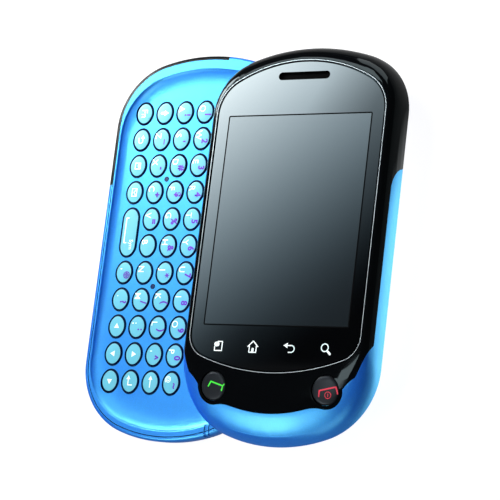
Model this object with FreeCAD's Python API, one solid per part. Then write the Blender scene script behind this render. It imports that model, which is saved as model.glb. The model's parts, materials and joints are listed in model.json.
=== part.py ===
import FreeCAD, Part

import math
import os
from collections import namedtuple

# Slider phone with a side-slide keyboard, lying on its back. Millimetres.
# X is the width and the way the display half slides, Y runs to the phone's top end, Z is up from the resting face.
# The origin is the centre of the base half's resting face. The display half is built where it stands when open.

Vec = FreeCAD.Vector
X_AXIS = Vec(1, 0, 0)
Y_AXIS = Vec(0, 1, 0)
Z_AXIS = Vec(0, 0, 1)

# ---------------------------------------------------------------- driving dimensions
WIDTH = 57.4  # across either half
LENGTH = 108.6  # along either half
THICKNESS = 16.8  # both halves, closed
BASE_HEIGHT = 8.4  # resting face to the base half's rim
HALF_GAP = 0.4  # between the two halves
SLIDE_TRAVEL = 35.5  # closed to open

# corner and end radii of the common plan outline
TOP_END_RADIUS = 55.0
TOP_CORNER_RADIUS = 17.0
BOTTOM_END_RADIUS = 45.0
BOTTOM_CORNER_RADIUS = 20.0

# base half, side profile
BASE_NARROWER = 0.6  # than the display half, at each side
BASE_LONGER = 0.4  # than the display half, at the top end
BASE_TOP_END_RADIUS = 52.0
BASE_TOP_CORNER_RADIUS = 19.0
BELT_Z = 7.4  # height of the widest line
FOOT_INSET = 4.0  # how far the resting face stays inside the widest line
RIM_SHOULDER = 1.0  # inset of the rounded upper edge
SHOULDER_STEPS = 3  # bands in that edge
PROFILE_STEPS = 4  # bands in a quarter of the rounded profile
# widest line to the seam where the keyboard frame lies inside the housing's edge
FRAME_SIDE = 1.45
FRAME_TOP = 1.3
FRAME_BOTTOM = 1.4

# base half, levels
DECK_Z = 7.3  # keyboard floor
DECK_THICK = 1.0
SEAM_GAP = 0.15  # dark line between neighbouring shells
COVER_THICK = 1.0
COVER_FROM_TOP = 36.8  # top end to where the removable cover meets the dark top housing

# keyboard dish
RIM_SIDE = 1.95  # widest line to the dish's edge, at the sides
RIM_TOP = 3.9
RIM_BOTTOM = 2.8
DISH_WALL_SIDE = 3.2
DISH_WALL_TOP = 4.4
DISH_WALL_BOTTOM = 6.7

# keys
KEY_COLUMNS = 4
KEY_ROWS = 11
KEY_PITCH_X = 6.61
KEYS_FROM_SIDE = 9.1  # widest line to the middle of the outer column
KEYS_FROM_TOP = 15.8  # top end to the middle of the first row
KEYS_FROM_BOTTOM = 16.15  # bottom end to the middle of the last row
KEY_WIDTH = 5.3
KEY_ROW_GAP = 1.365  # between the keys of neighbouring rows
KEY_CLEARANCE = 0.32  # all round, in its hole
KEY_PROUD = 0.2  # above the keyboard floor
KEY_SKIRT = 0.15  # below the deck's underside
KEY_TRAVEL = 0.3
KEY_END_RADIUS = 2.2
PRESS_REST_GAP = 0.1  # left under a pressed key
SPACE_ROW = 4  # the space bar takes this row and the next, counted from 0
PIP_RADIUS = 0.6  # light pips between the second and third columns
PIP_ROWS = (2, 6)  # the pip follows this row

# keyboard mat and circuit board
MAT_THICK = 0.45
MAT_MARGIN = 1.6
MAT_LIP = 0.9
BOARD_THICK = 1.0
BOARD_WIDTH = 46.0
BOARD_LENGTH = 38.5
BOARD_FROM_TOP = 5.8
BOARD_CORNER = 9.0
SHIELD_HEIGHT = 1.3
SHIELD_MARGIN = 2.0  # board's edge to the first can
# each can: its start and end across the half board, and its start and end along the board
SHIELD_CANS = ((-0.86, -0.1, 0.0, 0.42), (0.05, 0.8, 0.0, 0.32), (0.45, 0.8, 0.4, 0.62))

# battery
BATTERY_WIDTH = 38.0
BATTERY_TO_BOARD = 4.5
BATTERY_THICK = 3.55
BATTERY_FROM_BOTTOM = 12.8
BATTERY_CORNER = 2.0
FIT_GAP = 0.2  # round pieces laid in a pocket

# headset socket
JACK_RADIUS = 1.8
JACK_WALL = 0.5
JACK_LENGTH = 13.0
JACK_X = -9.0
JACK_Z = 2.95
JACK_FROM_TOP = 4.0

# camera window and loudspeaker slots on the back
CAMERA_RADIUS = 4.4
CAMERA_FROM_TOP = 16.3
CAMERA_RECESS = 1.1
CAMERA_GLASS = 0.8
SPEAKER_X = 11.0
SPEAKER_SLOTS = 5
SPEAKER_SLOT_WIDTH = 0.8
SPEAKER_SLOT_LENGTH = 7.0
SPEAKER_SLOT_PITCH = 1.7
SPEAKER_DEPTH = 0.9

# volume key
VOLUME_LENGTH = 14.0
VOLUME_HEIGHT = 2.4
VOLUME_FROM_TOP = 25.3
VOLUME_Z = 3.9
VOLUME_PROUD = 0.5
VOLUME_DEPTH = 1.6
VOLUME_CLEARANCE = 0.35

# port door at the top edge and end-cap seam at the bottom edge
DOOR_START_X = 6.4
DOOR_END_X = 17.4
DOOR_ROOT = 0.4  # how far the door reaches into the frame
END_CAP_SEAMS = ((12.95, 0.65), (14.3, 0.3))  # where each groove starts, and its width
SEAM_GROOVE = 0.3  # depth

# slide: plate with two T-shoes on the base half, slotted carriage under the display half
SHOE_FROM_END = 25.3  # either end to the middle of a shoe
SHOE_LENGTH = 12.0
SHOE_FROM_SIDE = 4.7
SHOE_STEM = 2.4
SHOE_HEAD = 5.4
SHOE_HEAD_THICK = 0.9
SHOE_CLEARANCE = 0.3
PLATE_THICK = 0.5
PLATE_MARGIN_X = 0.5
PLATE_MARGIN_Y = 5.0
PLATE_CORNER = 4.0
CARRIAGE_THICK = 0.6
CARRIAGE_CLEARANCE = 0.4  # to the bezel's skirt
CARRIAGE_FROM_END = 18.3
SCREW_HEAD_RADIUS = 1.2
SCREW_HEAD_THICK = 0.3

# display half
CROWN_HEIGHT = 7.3  # depth over which the sides curve out from the chrome line
CROWN_STEPS = 7  # bands in that curve
UNDERCUT = 0.5  # chamfer of the lower edge
GLASS_SIDE = 2.95  # widest line to the chrome ring
GLASS_TOP = 4.65
GLASS_BOTTOM = 18.2
GLASS_TOP_RADIUS = 41.0
GLASS_TOP_CORNER = 11.0
GLASS_BOTTOM_RADIUS = 60.0
GLASS_BOTTOM_CORNER = 7.0
RING_LAND = 0.15  # dark edge outside the ring
RING_WIDTH = 0.5
RING_DEPTH = 0.8
RING_LIP = 0.25  # dark line inside the ring
GLASS_THICK = 1.15
GLASS_SUNK = 0.2
PANEL_FROM_SIDE = 5.5
PANEL_THICK = 2.2
PANEL_FROM_TOP = 16.4
PANEL_FROM_BOTTOM = 26.2
EARPIECE_FROM_TOP = 9.3
EARPIECE_LENGTH = 15.6
EARPIECE_WIDTH = 2.2

# dark bezel against coloured frame
SIDE_SEAM_DEPTH = 2.8  # crown to the seam along the sides
SIDE_SEAM_FROM_TOP = 33.8  # where the seam turns down to the lower edge
SIDE_SEAM_BEND_Y = 6.5
SIDE_SEAM_BEND_Z = 5.1
SKIRT_THICK = 2.2
# the chin's seam, from the side and from the bottom end
CHIN_START_FROM_BOTTOM = 34.3
CHIN_BULGE_FROM_SIDE = 1.1
CHIN_BULGE_FROM_BOTTOM = 25.3
CHIN_WAIST_FROM_SIDE = 3.95  # narrow point above each round key
CHIN_WAIST_FROM_BOTTOM = 18.1
CHIN_DIP_FROM_BOTTOM = 7.85  # at the centre line
LOBE_MARGIN = 1.0  # dark land round a round key

# round keys below the glass
ROUND_KEY_FROM_SIDE = 12.0
ROUND_KEY_FROM_BOTTOM = 14.5
ROUND_KEY_RADIUS = 3.85
ROUND_KEY_CLEARANCE = 0.12
ROUND_KEY_HEIGHT = 1.5
ROUND_KEY_SUNK = 0.1
ROUND_KEY_TRAVEL = 0.3

# ---------------------------------------------------------------- places worked out from the above
SIDE = WIDTH / 2
BASE_SIDE = SIDE - BASE_NARROWER
TOP = LENGTH / 2
BOTTOM = -LENGTH / 2
COVER_EDGE_Y = TOP - COVER_FROM_TOP
FIRST_KEY_X = KEYS_FROM_SIDE - SIDE
FIRST_KEY_Y = TOP - KEYS_FROM_TOP
KEY_PITCH_Y = (FIRST_KEY_Y - BOTTOM - KEYS_FROM_BOTTOM) / (KEY_ROWS - 1)
KEY_LENGTH = KEY_PITCH_Y - KEY_ROW_GAP
BOARD_END_Y = TOP - BOARD_FROM_TOP
BOARD_START_Y = BOARD_END_Y - BOARD_LENGTH
BATTERY_LENGTH = BOARD_START_Y - BATTERY_TO_BOARD - BOTTOM - BATTERY_FROM_BOTTOM
BATTERY_CENTRE_Y = BOTTOM + BATTERY_FROM_BOTTOM + BATTERY_LENGTH / 2
JACK_MOUTH_Y = TOP - JACK_FROM_TOP
CAMERA_Y = TOP - CAMERA_FROM_TOP
VOLUME_Y = TOP - VOLUME_FROM_TOP
SHOE_END_X = SIDE - SHOE_FROM_SIDE
SHOE_START_X = SHOE_END_X - SHOE_LENGTH
PANEL_WIDTH = WIDTH - 2 * PANEL_FROM_SIDE
PANEL_LENGTH = LENGTH - PANEL_FROM_TOP - PANEL_FROM_BOTTOM
PANEL_CENTRE_Y = TOP - PANEL_FROM_TOP - PANEL_LENGTH / 2
SHOE_Y = TOP - SHOE_FROM_END
CARRIAGE_HALF_LENGTH = TOP - CARRIAGE_FROM_END
EARPIECE_Y = TOP - EARPIECE_FROM_TOP
SIDE_SEAM_Y = TOP - SIDE_SEAM_FROM_TOP
CHIN_START_Y = BOTTOM + CHIN_START_FROM_BOTTOM
CHIN_BULGE = (SIDE - CHIN_BULGE_FROM_SIDE, BOTTOM + CHIN_BULGE_FROM_BOTTOM)
CHIN_WAIST = (SIDE - CHIN_WAIST_FROM_SIDE, BOTTOM + CHIN_WAIST_FROM_BOTTOM)
CHIN_DIP_Y = BOTTOM + CHIN_DIP_FROM_BOTTOM
ROUND_KEY_X = SIDE - ROUND_KEY_FROM_SIDE
ROUND_KEY_Y = BOTTOM + ROUND_KEY_FROM_BOTTOM
SEAM_Z = DECK_Z - DECK_THICK
KEY_TOP_Z = DECK_Z + KEY_PROUD
KEY_BOTTOM_Z = SEAM_Z - KEY_SKIRT
MAT_TOP_Z = KEY_BOTTOM_Z - KEY_TRAVEL - PRESS_REST_GAP
MAT_BOTTOM_Z = MAT_TOP_Z - MAT_THICK
BOARD_BOTTOM_Z = MAT_BOTTOM_Z - BOARD_THICK
BATTERY_BOTTOM_Z = COVER_THICK + FIT_GAP
BATTERY_TOP_Z = BATTERY_BOTTOM_Z + BATTERY_THICK
DISPLAY_Z = BASE_HEIGHT + HALF_GAP
PLATE_TOP_Z = DECK_Z + PLATE_THICK
CARRIAGE_TOP_Z = DISPLAY_Z + CARRIAGE_THICK
SHOE_HEAD_Z = CARRIAGE_TOP_Z + SHOE_CLEARANCE
CHANNEL_TOP_Z = SHOE_HEAD_Z + SHOE_HEAD_THICK + 2 * SHOE_CLEARANCE
GLASS_TOP_Z = THICKNESS - GLASS_SUNK
GLASS_BOTTOM_Z = GLASS_TOP_Z - GLASS_THICK
PANEL_TOP_Z = GLASS_BOTTOM_Z - FIT_GAP
PANEL_BOTTOM_Z = PANEL_TOP_Z - PANEL_THICK
SIDE_SEAM_Z = THICKNESS - SIDE_SEAM_DEPTH
REACH = 2 * LENGTH  # larger than anything, for cutting blocks
SAMPLE_STEPS = ((1, 0), (-1, 0), (0, 1), (0, -1))

Outline = namedtuple("Outline", "half_width top bottom top_radius top_corner bottom_radius bottom_corner")

BODY_OUTLINE = Outline(
    SIDE,
    TOP,
    BOTTOM,
    TOP_END_RADIUS,
    TOP_CORNER_RADIUS,
    BOTTOM_END_RADIUS,
    BOTTOM_CORNER_RADIUS,
)
BASE_OUTLINE = BODY_OUTLINE._replace(
    half_width=BASE_SIDE,
    top=TOP + BASE_LONGER,
    top_radius=BASE_TOP_END_RADIUS,
    top_corner=BASE_TOP_CORNER_RADIUS,
)
RING_OUTLINE = Outline(
    SIDE - GLASS_SIDE,
    TOP - GLASS_TOP,
    BOTTOM + GLASS_BOTTOM,
    GLASS_TOP_RADIUS,
    GLASS_TOP_CORNER,
    GLASS_BOTTOM_RADIUS,
    GLASS_BOTTOM_CORNER,
)


# ---------------------------------------------------------------- plan outlines
def inset(outline, side, top=None, bottom=None):
    """The outline moved inwards, by its own amount at the sides, the top end and the bottom end."""
    top = side if top is None else top
    bottom = side if bottom is None else bottom
    return Outline(
        outline.half_width - side,
        outline.top - top,
        outline.bottom + bottom,
        outline.top_radius - top,
        outline.top_corner - side,
        outline.bottom_radius - bottom,
        outline.bottom_corner - side,
    )


def between(first, second, share):
    """The outline a share of the way from the first to the second."""
    return Outline(*(a + (b - a) * share for a, b in zip(first, second)))


def end_points(half_width, end, end_radius, corner_radius, side):
    """Where a rounded end leaves the straight side, the middle of its corner, and where it joins the end arc."""
    across = half_width - corner_radius
    reach = end_radius - corner_radius
    along = math.sqrt(reach**2 - across**2)
    centre_y = end - side * (end_radius - along)
    half_turn = math.atan2(along, across) / 2
    start = (half_width, centre_y)
    middle = (
        across + corner_radius * math.cos(half_turn),
        centre_y + side * corner_radius * math.sin(half_turn),
    )
    join = (across * end_radius / reach, end - side * end_radius * (1 - along / reach))
    return start, middle, join


def outline_wire(outline, z):
    """Eight tangent edges: two straight sides, four corners and two end arcs."""
    top = end_points(outline.half_width, outline.top, outline.top_radius, outline.top_corner, 1)
    low = end_points(outline.half_width, outline.bottom, outline.bottom_radius, outline.bottom_corner, -1)

    def point(place, mirror=1):
        return Vec(mirror * place[0], place[1], z)

    top_middle = Vec(0, outline.top, z)
    low_middle = Vec(0, outline.bottom, z)
    edges = [
        Part.LineSegment(point(low[0]), point(top[0])),
        Part.Arc(point(top[0]), point(top[1]), point(top[2])),
        Part.Arc(point(top[2]), top_middle, point(top[2], -1)),
        Part.Arc(point(top[2], -1), point(top[1], -1), point(top[0], -1)),
        Part.LineSegment(point(top[0], -1), point(low[0], -1)),
        Part.Arc(point(low[0], -1), point(low[1], -1), point(low[2], -1)),
        Part.Arc(point(low[2], -1), low_middle, point(low[2])),
        Part.Arc(point(low[2]), point(low[1]), point(low[0])),
    ]
    return Part.Wire([edge.toShape() for edge in edges])


def outline_prism(outline, z0, z1):
    return Part.Face(outline_wire(outline, z0)).extrude(Z_AXIS * (z1 - z0))


def banded_loft(sections):
    """A solid through (outline, z) sections, with straight walls from each to the next."""
    return Part.makeLoft([outline_wire(outline, z) for outline, z in sections], True, True)


# ---------------------------------------------------------------- small solids
def block(x0, x1, y0, y1, z0, z1):
    return Part.makeBox(x1 - x0, y1 - y0, z1 - z0, Vec(x0, y0, z0))


def rounded_block(x0, x1, y0, y1, z0, z1, radius):
    """A block with its four upright edges rounded."""
    solid = block(x0, x1, y0, y1, z0, z1)
    upright = [e for e in solid.Edges if abs(e.BoundBox.ZLength - (z1 - z0)) < 1e-6 and e.BoundBox.XLength < 1e-6]
    return solid.makeFillet(radius, [e for e in upright if e.BoundBox.YLength < 1e-6])


def rod(radius, start, length, direction=Z_AXIS):
    return Part.makeCylinder(radius, length, start, direction)


def stadium(x, y, length, width, z0, z1):
    """A slot-shaped prism whose long way is X."""
    return rounded_block(
        x - length / 2, x + length / 2, y - width / 2, y + width / 2, z0, z1, width / 2 * 0.999
    )


def key_wire(x, y, z, extra, growth):
    """A key's oval plan of four arcs, grown all round, with straight flanks of the extra length between its ends."""
    half_x = KEY_WIDTH / 2 + growth
    half_y = KEY_LENGTH / 2 + growth
    end_radius = KEY_END_RADIUS + growth
    rise = half_y - end_radius
    side_radius = (half_x**2 + rise**2 - end_radius**2) / (2 * (half_x - end_radius))
    across = side_radius - half_x
    lean = math.atan2(rise, across)
    join_x = end_radius * math.cos(lean)
    join_y = rise + end_radius * math.sin(lean)
    middle_x = side_radius * math.cos(lean / 2) - across
    middle_y = side_radius * math.sin(lean / 2)
    lift = extra / 2
    edges = []
    for turn in (1, -1):

        def point(along, up):
            return Vec(x - turn * along, y + turn * up, z)

        edges.append(
            Part.Arc(point(-join_x, lift + join_y), point(0, lift + half_y), point(join_x, lift + join_y))
        )
        if extra:
            edges += [
                Part.Arc(point(join_x, lift + join_y), point(middle_x, lift + middle_y), point(half_x, lift)),
                Part.LineSegment(point(half_x, lift), point(half_x, -lift)),
                Part.Arc(point(half_x, -lift), point(middle_x, -lift - middle_y), point(join_x, -lift - join_y)),
            ]
        else:
            edges.append(Part.Arc(point(join_x, join_y), point(half_x, 0), point(join_x, -join_y)))
    return Part.Wire([edge.toShape() for edge in edges])


def key_prism(x, y, z0, z1, extra, growth):
    return Part.Face(key_wire(x, y, z0, extra, growth)).extrude(Z_AXIS * (z1 - z0))


def cut_all(solid, tools):
    for tool in tools:
        solid = solid.cut(tool)
    return solid


def single(shape):
    """The one solid of a boolean's result."""
    solids = shape.removeSplitter().Solids
    return max(solids, key=lambda s: s.Volume)


# ---------------------------------------------------------------- base half
def base_profile(offset=0.0):
    """Sections of the base half from its resting face to its belt, moved inwards by the offset."""
    sections = []
    for step in range(PROFILE_STEPS + 1):
        turn = math.pi / 2 * step / PROFILE_STEPS
        rise = offset + (BELT_Z - offset) * (1 - math.cos(turn))
        draw = offset + FOOT_INSET * (1 - math.sin(turn))
        sections.append((inset(BASE_OUTLINE, draw), rise))
    return sections


def base_block(offset=0.0):
    """The base half's outer form up to its rim, or a smaller one inside it."""
    sections = base_profile(offset)
    for step in range(1, SHOULDER_STEPS + 1):
        turn = math.pi / 2 * step / SHOULDER_STEPS
        draw = offset + RIM_SHOULDER * (1 - math.cos(turn))
        sections.append((inset(BASE_OUTLINE, draw), BELT_Z + (BASE_HEIGHT - BELT_Z) * math.sin(turn)))
    return banded_loft(sections)


def inner_tray(offset, z1):
    """The base half's form inside a wall, up to a level."""
    return base_block(offset).common(block(-REACH, REACH, -REACH, REACH, -1, z1))


def frame_zone(gap):
    """Where the keyboard frame lies inside the housing's edge."""
    return outline_prism(inset(BASE_OUTLINE, FRAME_SIDE - gap, FRAME_TOP - gap, FRAME_BOTTOM - gap), SEAM_Z, REACH)


def key_places():
    """(column, row, x, y, extra length) for each key, columns from the outer side, rows from the top end."""
    for column in range(KEY_COLUMNS):
        for row in range(KEY_ROWS):
            x = FIRST_KEY_X + column * KEY_PITCH_X
            y = FIRST_KEY_Y - row * KEY_PITCH_Y
            if column == 0 and row == SPACE_ROW:
                yield column, row, x, y - KEY_PITCH_Y / 2, KEY_PITCH_Y
            elif column > 0 or row != SPACE_ROW + 1:
                yield column, row, x, y, 0.0


def pip_places():
    x = FIRST_KEY_X + 1.5 * KEY_PITCH_X
    for row in PIP_ROWS:
        yield x, FIRST_KEY_Y - (row + 0.5) * KEY_PITCH_Y


def key_field():
    """x0, x1, y0, y1 round all the keys."""
    x0 = FIRST_KEY_X - KEY_WIDTH / 2
    x1 = FIRST_KEY_X + (KEY_COLUMNS - 1) * KEY_PITCH_X + KEY_WIDTH / 2
    y0 = FIRST_KEY_Y - (KEY_ROWS - 1) * KEY_PITCH_Y - KEY_LENGTH / 2
    y1 = FIRST_KEY_Y + KEY_LENGTH / 2
    return x0, x1, y0, y1


def keyboard_frame(base):
    """Rim, dished wall and deck with a hole for each key, and the door over the port at the top edge."""
    edge = inset(BASE_OUTLINE, RIM_SIDE, RIM_TOP, RIM_BOTTOM)
    floor = inset(edge, DISH_WALL_SIDE, DISH_WALL_TOP, DISH_WALL_BOTTOM)
    sections = []
    for step in range(PROFILE_STEPS + 1):
        # a quarter ellipse, level at the floor and steep at the edge
        turn = math.pi / 2 * step / PROFILE_STEPS
        sections.append((between(floor, edge, math.sin(turn)), DECK_Z + (BASE_HEIGHT - DECK_Z) * (1 - math.cos(turn))))
    dish = banded_loft(sections)
    frame = base.common(frame_zone(0)).fuse(port_door(base)).cut(dish)
    holes = []
    for _, _, x, y, extra in key_places():
        holes.append(key_prism(x, y, SEAM_Z - 1, DECK_Z + 1, extra, KEY_CLEARANCE))
    for x, y in pip_places():
        holes.append(rod(PIP_RADIUS + SEAM_GAP, Vec(x, y, SEAM_Z - 1), DECK_THICK + 2))
    frame = frame.cut(Part.makeCompound(holes)).cut(plate_block(FIT_GAP, DECK_Z, REACH))
    return single(frame.cut(end_cap_grooves()))


def port_door_block(gap=0.0):
    wall = FRAME_TOP + DOOR_ROOT + gap
    outer = block(DOOR_START_X - gap, DOOR_END_X + gap, 0, REACH, BELT_Z / 2 - gap, REACH)
    return outer.cut(outline_prism(inset(BASE_OUTLINE, wall), -REACH, REACH))


def port_door(base):
    """A coloured door that hangs from the frame over the port."""
    return base.common(port_door_block())


def end_cap_grooves():
    """A pair of fine grooves up the bottom edge and across the rim."""
    lines = Part.makeCompound([block(x, x + width, -REACH, 0, -1, REACH) for x, width in END_CAP_SEAMS])
    rim = lines.common(block(-REACH, REACH, -REACH, 0, BASE_HEIGHT - SEAM_GROOVE, REACH))
    return lines.cut(base_block(SEAM_GROOVE)).fuse(rim)


def key_cap(x, y, extra):
    return key_prism(x, y, KEY_BOTTOM_Z, KEY_TOP_Z, extra, 0)


def key_mat():
    """Silicone mat under the keys, with a lip up to the deck and two light pips."""
    x0, x1, y0, y1 = key_field()
    out = MAT_MARGIN
    corner = MAT_MARGIN + KEY_WIDTH / 2
    mat = rounded_block(x0 - out, x1 + out, y0 - out, y1 + out, MAT_BOTTOM_Z, SEAM_Z, corner)
    inner = out - MAT_LIP
    tray = rounded_block(x0 - inner, x1 + inner, y0 - inner, y1 + inner, MAT_TOP_Z, REACH, corner - MAT_LIP)
    mat = mat.cut(tray)
    for x, y in pip_places():
        mat = mat.fuse(rod(PIP_RADIUS, Vec(x, y, MAT_TOP_Z - MAT_THICK / 2), DECK_Z + PIP_RADIUS / 2 - MAT_TOP_Z))
    return single(mat)


def mat_pocket():
    x0, x1, y0, y1 = key_field()
    out = MAT_MARGIN + FIT_GAP
    corner = MAT_MARGIN + KEY_WIDTH / 2 + FIT_GAP
    return rounded_block(x0 - out, x1 + out, y0 - out, y1 + out, MAT_BOTTOM_Z, REACH, corner)


def board_plan(gap, z0, z1):
    half = BOARD_WIDTH / 2 + gap
    return rounded_block(-half, half, BOARD_START_Y - gap, BOARD_END_Y + gap, z0, z1, BOARD_CORNER + gap)


def jack_block(gap):
    half = JACK_RADIUS + JACK_WALL + gap
    return block(
        JACK_X - half, JACK_X + half, JACK_MOUTH_Y - JACK_LENGTH - gap, JACK_MOUTH_Y, JACK_Z - half, JACK_Z + half
    )


def main_board():
    """Circuit board with its shield cans and port socket, notched round the headset socket."""
    board = board_plan(0, BOARD_BOTTOM_Z, MAT_BOTTOM_Z).cut(jack_block(2 * FIT_GAP))
    half = BOARD_WIDTH / 2
    first_y = BOARD_START_Y + SHIELD_MARGIN
    cans = [
        block(
            x0 * half,
            x1 * half,
            first_y + y0 * BOARD_LENGTH,
            first_y + y1 * BOARD_LENGTH,
            BOARD_BOTTOM_Z - SHIELD_HEIGHT,
            BOARD_BOTTOM_Z,
        )
        for x0, x1, y0, y1 in SHIELD_CANS
    ]
    return Part.makeCompound([single(board)] + cans)


def headset_jack():
    bore = rod(JACK_RADIUS, Vec(JACK_X, JACK_MOUTH_Y - JACK_LENGTH - 1, JACK_Z), JACK_LENGTH + 2, Y_AXIS)
    return jack_block(0).cut(bore)


def battery_block(gap, z0, z1):
    half = BATTERY_WIDTH / 2 + gap
    half_y = BATTERY_LENGTH / 2 + gap
    corner = BATTERY_CORNER + gap
    return rounded_block(-half, half, BATTERY_CENTRE_Y - half_y, BATTERY_CENTRE_Y + half_y, z0, z1, corner)


def camera_disc(radius, z0, z1):
    return rod(radius, Vec(0, CAMERA_Y, z0), z1 - z0)


def speaker_slots():
    first = CAMERA_Y - SPEAKER_SLOT_PITCH * (SPEAKER_SLOTS - 1) / 2
    for index in range(SPEAKER_SLOTS):
        y = first + index * SPEAKER_SLOT_PITCH
        yield stadium(SPEAKER_X, y, SPEAKER_SLOT_LENGTH, SPEAKER_SLOT_WIDTH, -1, SPEAKER_DEPTH)


def volume_prism(clearance, x0, x1):
    """A stadium across the side wall, its long way along Y."""
    length = VOLUME_LENGTH + 2 * clearance
    height = VOLUME_HEIGHT + 2 * clearance
    middle = block(x0, x1, VOLUME_Y - (length - height) / 2, VOLUME_Y + (length - height) / 2,
                   VOLUME_Z - height / 2, VOLUME_Z + height / 2)
    for side in (1, -1):
        end = Vec(x0, VOLUME_Y + side * (length - height) / 2, VOLUME_Z)
        middle = middle.fuse(rod(height / 2, end, x1 - x0, X_AXIS))
    return middle.removeSplitter()


def volume_key():
    return volume_prism(0, BASE_SIDE - VOLUME_DEPTH + VOLUME_CLEARANCE, BASE_SIDE + VOLUME_PROUD)


def rear_housing(base):
    """Dark tray of the base half: it shows round the top end, and the cover wraps the rest of it."""
    wrapped = block(-REACH, REACH, -REACH, COVER_EDGE_Y + SEAM_GAP, -REACH, REACH)
    housing = base.cut(frame_zone(SEAM_GAP)).cut(wrapped.cut(inner_tray(COVER_THICK + SEAM_GAP, SEAM_Z)))
    jack_way = rod(
        JACK_RADIUS + JACK_WALL / 2, Vec(JACK_X, JACK_MOUTH_Y - 1, JACK_Z), REACH, Y_AXIS
    )
    tools = [
        mat_pocket(),
        board_plan(FIT_GAP, BOARD_BOTTOM_Z - SHIELD_HEIGHT - FIT_GAP, MAT_BOTTOM_Z + 0.01),
        battery_block(FIT_GAP, -1, BATTERY_TOP_Z + FIT_GAP / 2),
        jack_block(FIT_GAP),
        jack_way,
        camera_disc(CAMERA_RADIUS + FIT_GAP / 2, -1, CAMERA_RECESS),
        volume_prism(VOLUME_CLEARANCE, BASE_SIDE - VOLUME_DEPTH, REACH),
        port_door_block(SEAM_GAP),
    ]
    housing = single(cut_all(housing, tools + list(speaker_slots())))
    lens = camera_disc(CAMERA_RADIUS, CAMERA_RECESS - CAMERA_GLASS, CAMERA_RECESS)
    return Part.makeCompound([housing, lens])


def battery_cover(base):
    """Coloured cover that wraps the back, the sides and the bottom end, up to the rim."""
    shell = base.common(block(-REACH, REACH, -REACH, COVER_EDGE_Y, -1, REACH)).cut(frame_zone(SEAM_GAP))
    shell = shell.cut(inner_tray(COVER_THICK, SEAM_Z + SEAM_GAP))
    return single(shell.cut(end_cap_grooves()))


# ---------------------------------------------------------------- slide
def plate_block(gap, z0, z1):
    """The slide plate's plan, grown by a gap."""
    out = PLATE_MARGIN_X + gap
    reach_y = SHOE_Y + PLATE_MARGIN_Y + gap
    return rounded_block(SHOE_START_X - out, SHOE_END_X + out, -reach_y, reach_y, z0, z1, PLATE_CORNER + gap)


def slide_plate():
    """Steel plate on the deck with two T-shoes and its screws."""
    x0 = SHOE_START_X - PLATE_MARGIN_X
    x1 = SHOE_END_X + PLATE_MARGIN_X
    plate = plate_block(0, DECK_Z, PLATE_TOP_Z)
    for side in (1, -1):
        y = side * SHOE_Y
        stem = block(SHOE_START_X, SHOE_END_X, y - SHOE_STEM / 2, y + SHOE_STEM / 2, DECK_Z, SHOE_HEAD_Z)
        head = block(
            SHOE_START_X, SHOE_END_X, y - SHOE_HEAD / 2, y + SHOE_HEAD / 2, SHOE_HEAD_Z, SHOE_HEAD_Z + SHOE_HEAD_THICK
        )
        plate = plate.fuse(stem).fuse(head)
    screws = []
    for side_x in (x0 + 2.5 * SCREW_HEAD_RADIUS, x1 - 2.5 * SCREW_HEAD_RADIUS):
        for side_y in (-1, 1):
            y = side_y * (SHOE_Y - SHOE_HEAD - SCREW_HEAD_RADIUS)
            screws.append(rod(SCREW_HEAD_RADIUS, Vec(side_x, y, PLATE_TOP_Z), SCREW_HEAD_THICK))
    return Part.makeCompound([single(plate)] + screws)


def slot_range():
    """The slots' ends, in the display half's own X."""
    return SHOE_START_X - SLIDE_TRAVEL - SHOE_CLEARANCE, SHOE_END_X + SHOE_CLEARANCE


def carriage_half_width():
    return SIDE - SKIRT_THICK - CARRIAGE_CLEARANCE


def slide_carriage():
    """Steel plate under the display half, with a slot for each T-shoe."""
    half = carriage_half_width()
    plate = rounded_block(
        -half, half, -CARRIAGE_HALF_LENGTH, CARRIAGE_HALF_LENGTH, DISPLAY_Z, CARRIAGE_TOP_Z, PLATE_CORNER
    )
    start, end = slot_range()
    for side in (1, -1):
        half_slot = SHOE_STEM / 2 + SHOE_CLEARANCE
        y = side * SHOE_Y
        plate = plate.cut(block(start, end, y - half_slot, y + half_slot, DISPLAY_Z - 1, CARRIAGE_TOP_Z + 1))
    return plate


# ---------------------------------------------------------------- display half, built about X = 0
def display_block():
    """Outer form of the display half: its sides curve from the glass out to the widest line."""
    land = inset(RING_OUTLINE, -RING_LAND)
    sections = []
    for step in range(CROWN_STEPS + 1):
        turn = math.pi / 2 * step / CROWN_STEPS
        depth = CROWN_HEIGHT * (1 - math.cos(turn))
        sections.append((between(land, BODY_OUTLINE, math.sin(turn)), THICKNESS - depth))
    sections.append((inset(BODY_OUTLINE, UNDERCUT), DISPLAY_Z))
    return banded_loft(sections)


def arc_chain(points):
    """Arcs through each group of start, middle and end."""
    return [
        Part.Arc(Vec(*points[i], 0), Vec(*points[i + 1], 0), Vec(*points[i + 2], 0)).toShape()
        for i in range(0, len(points) - 2, 2)
    ]


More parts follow.
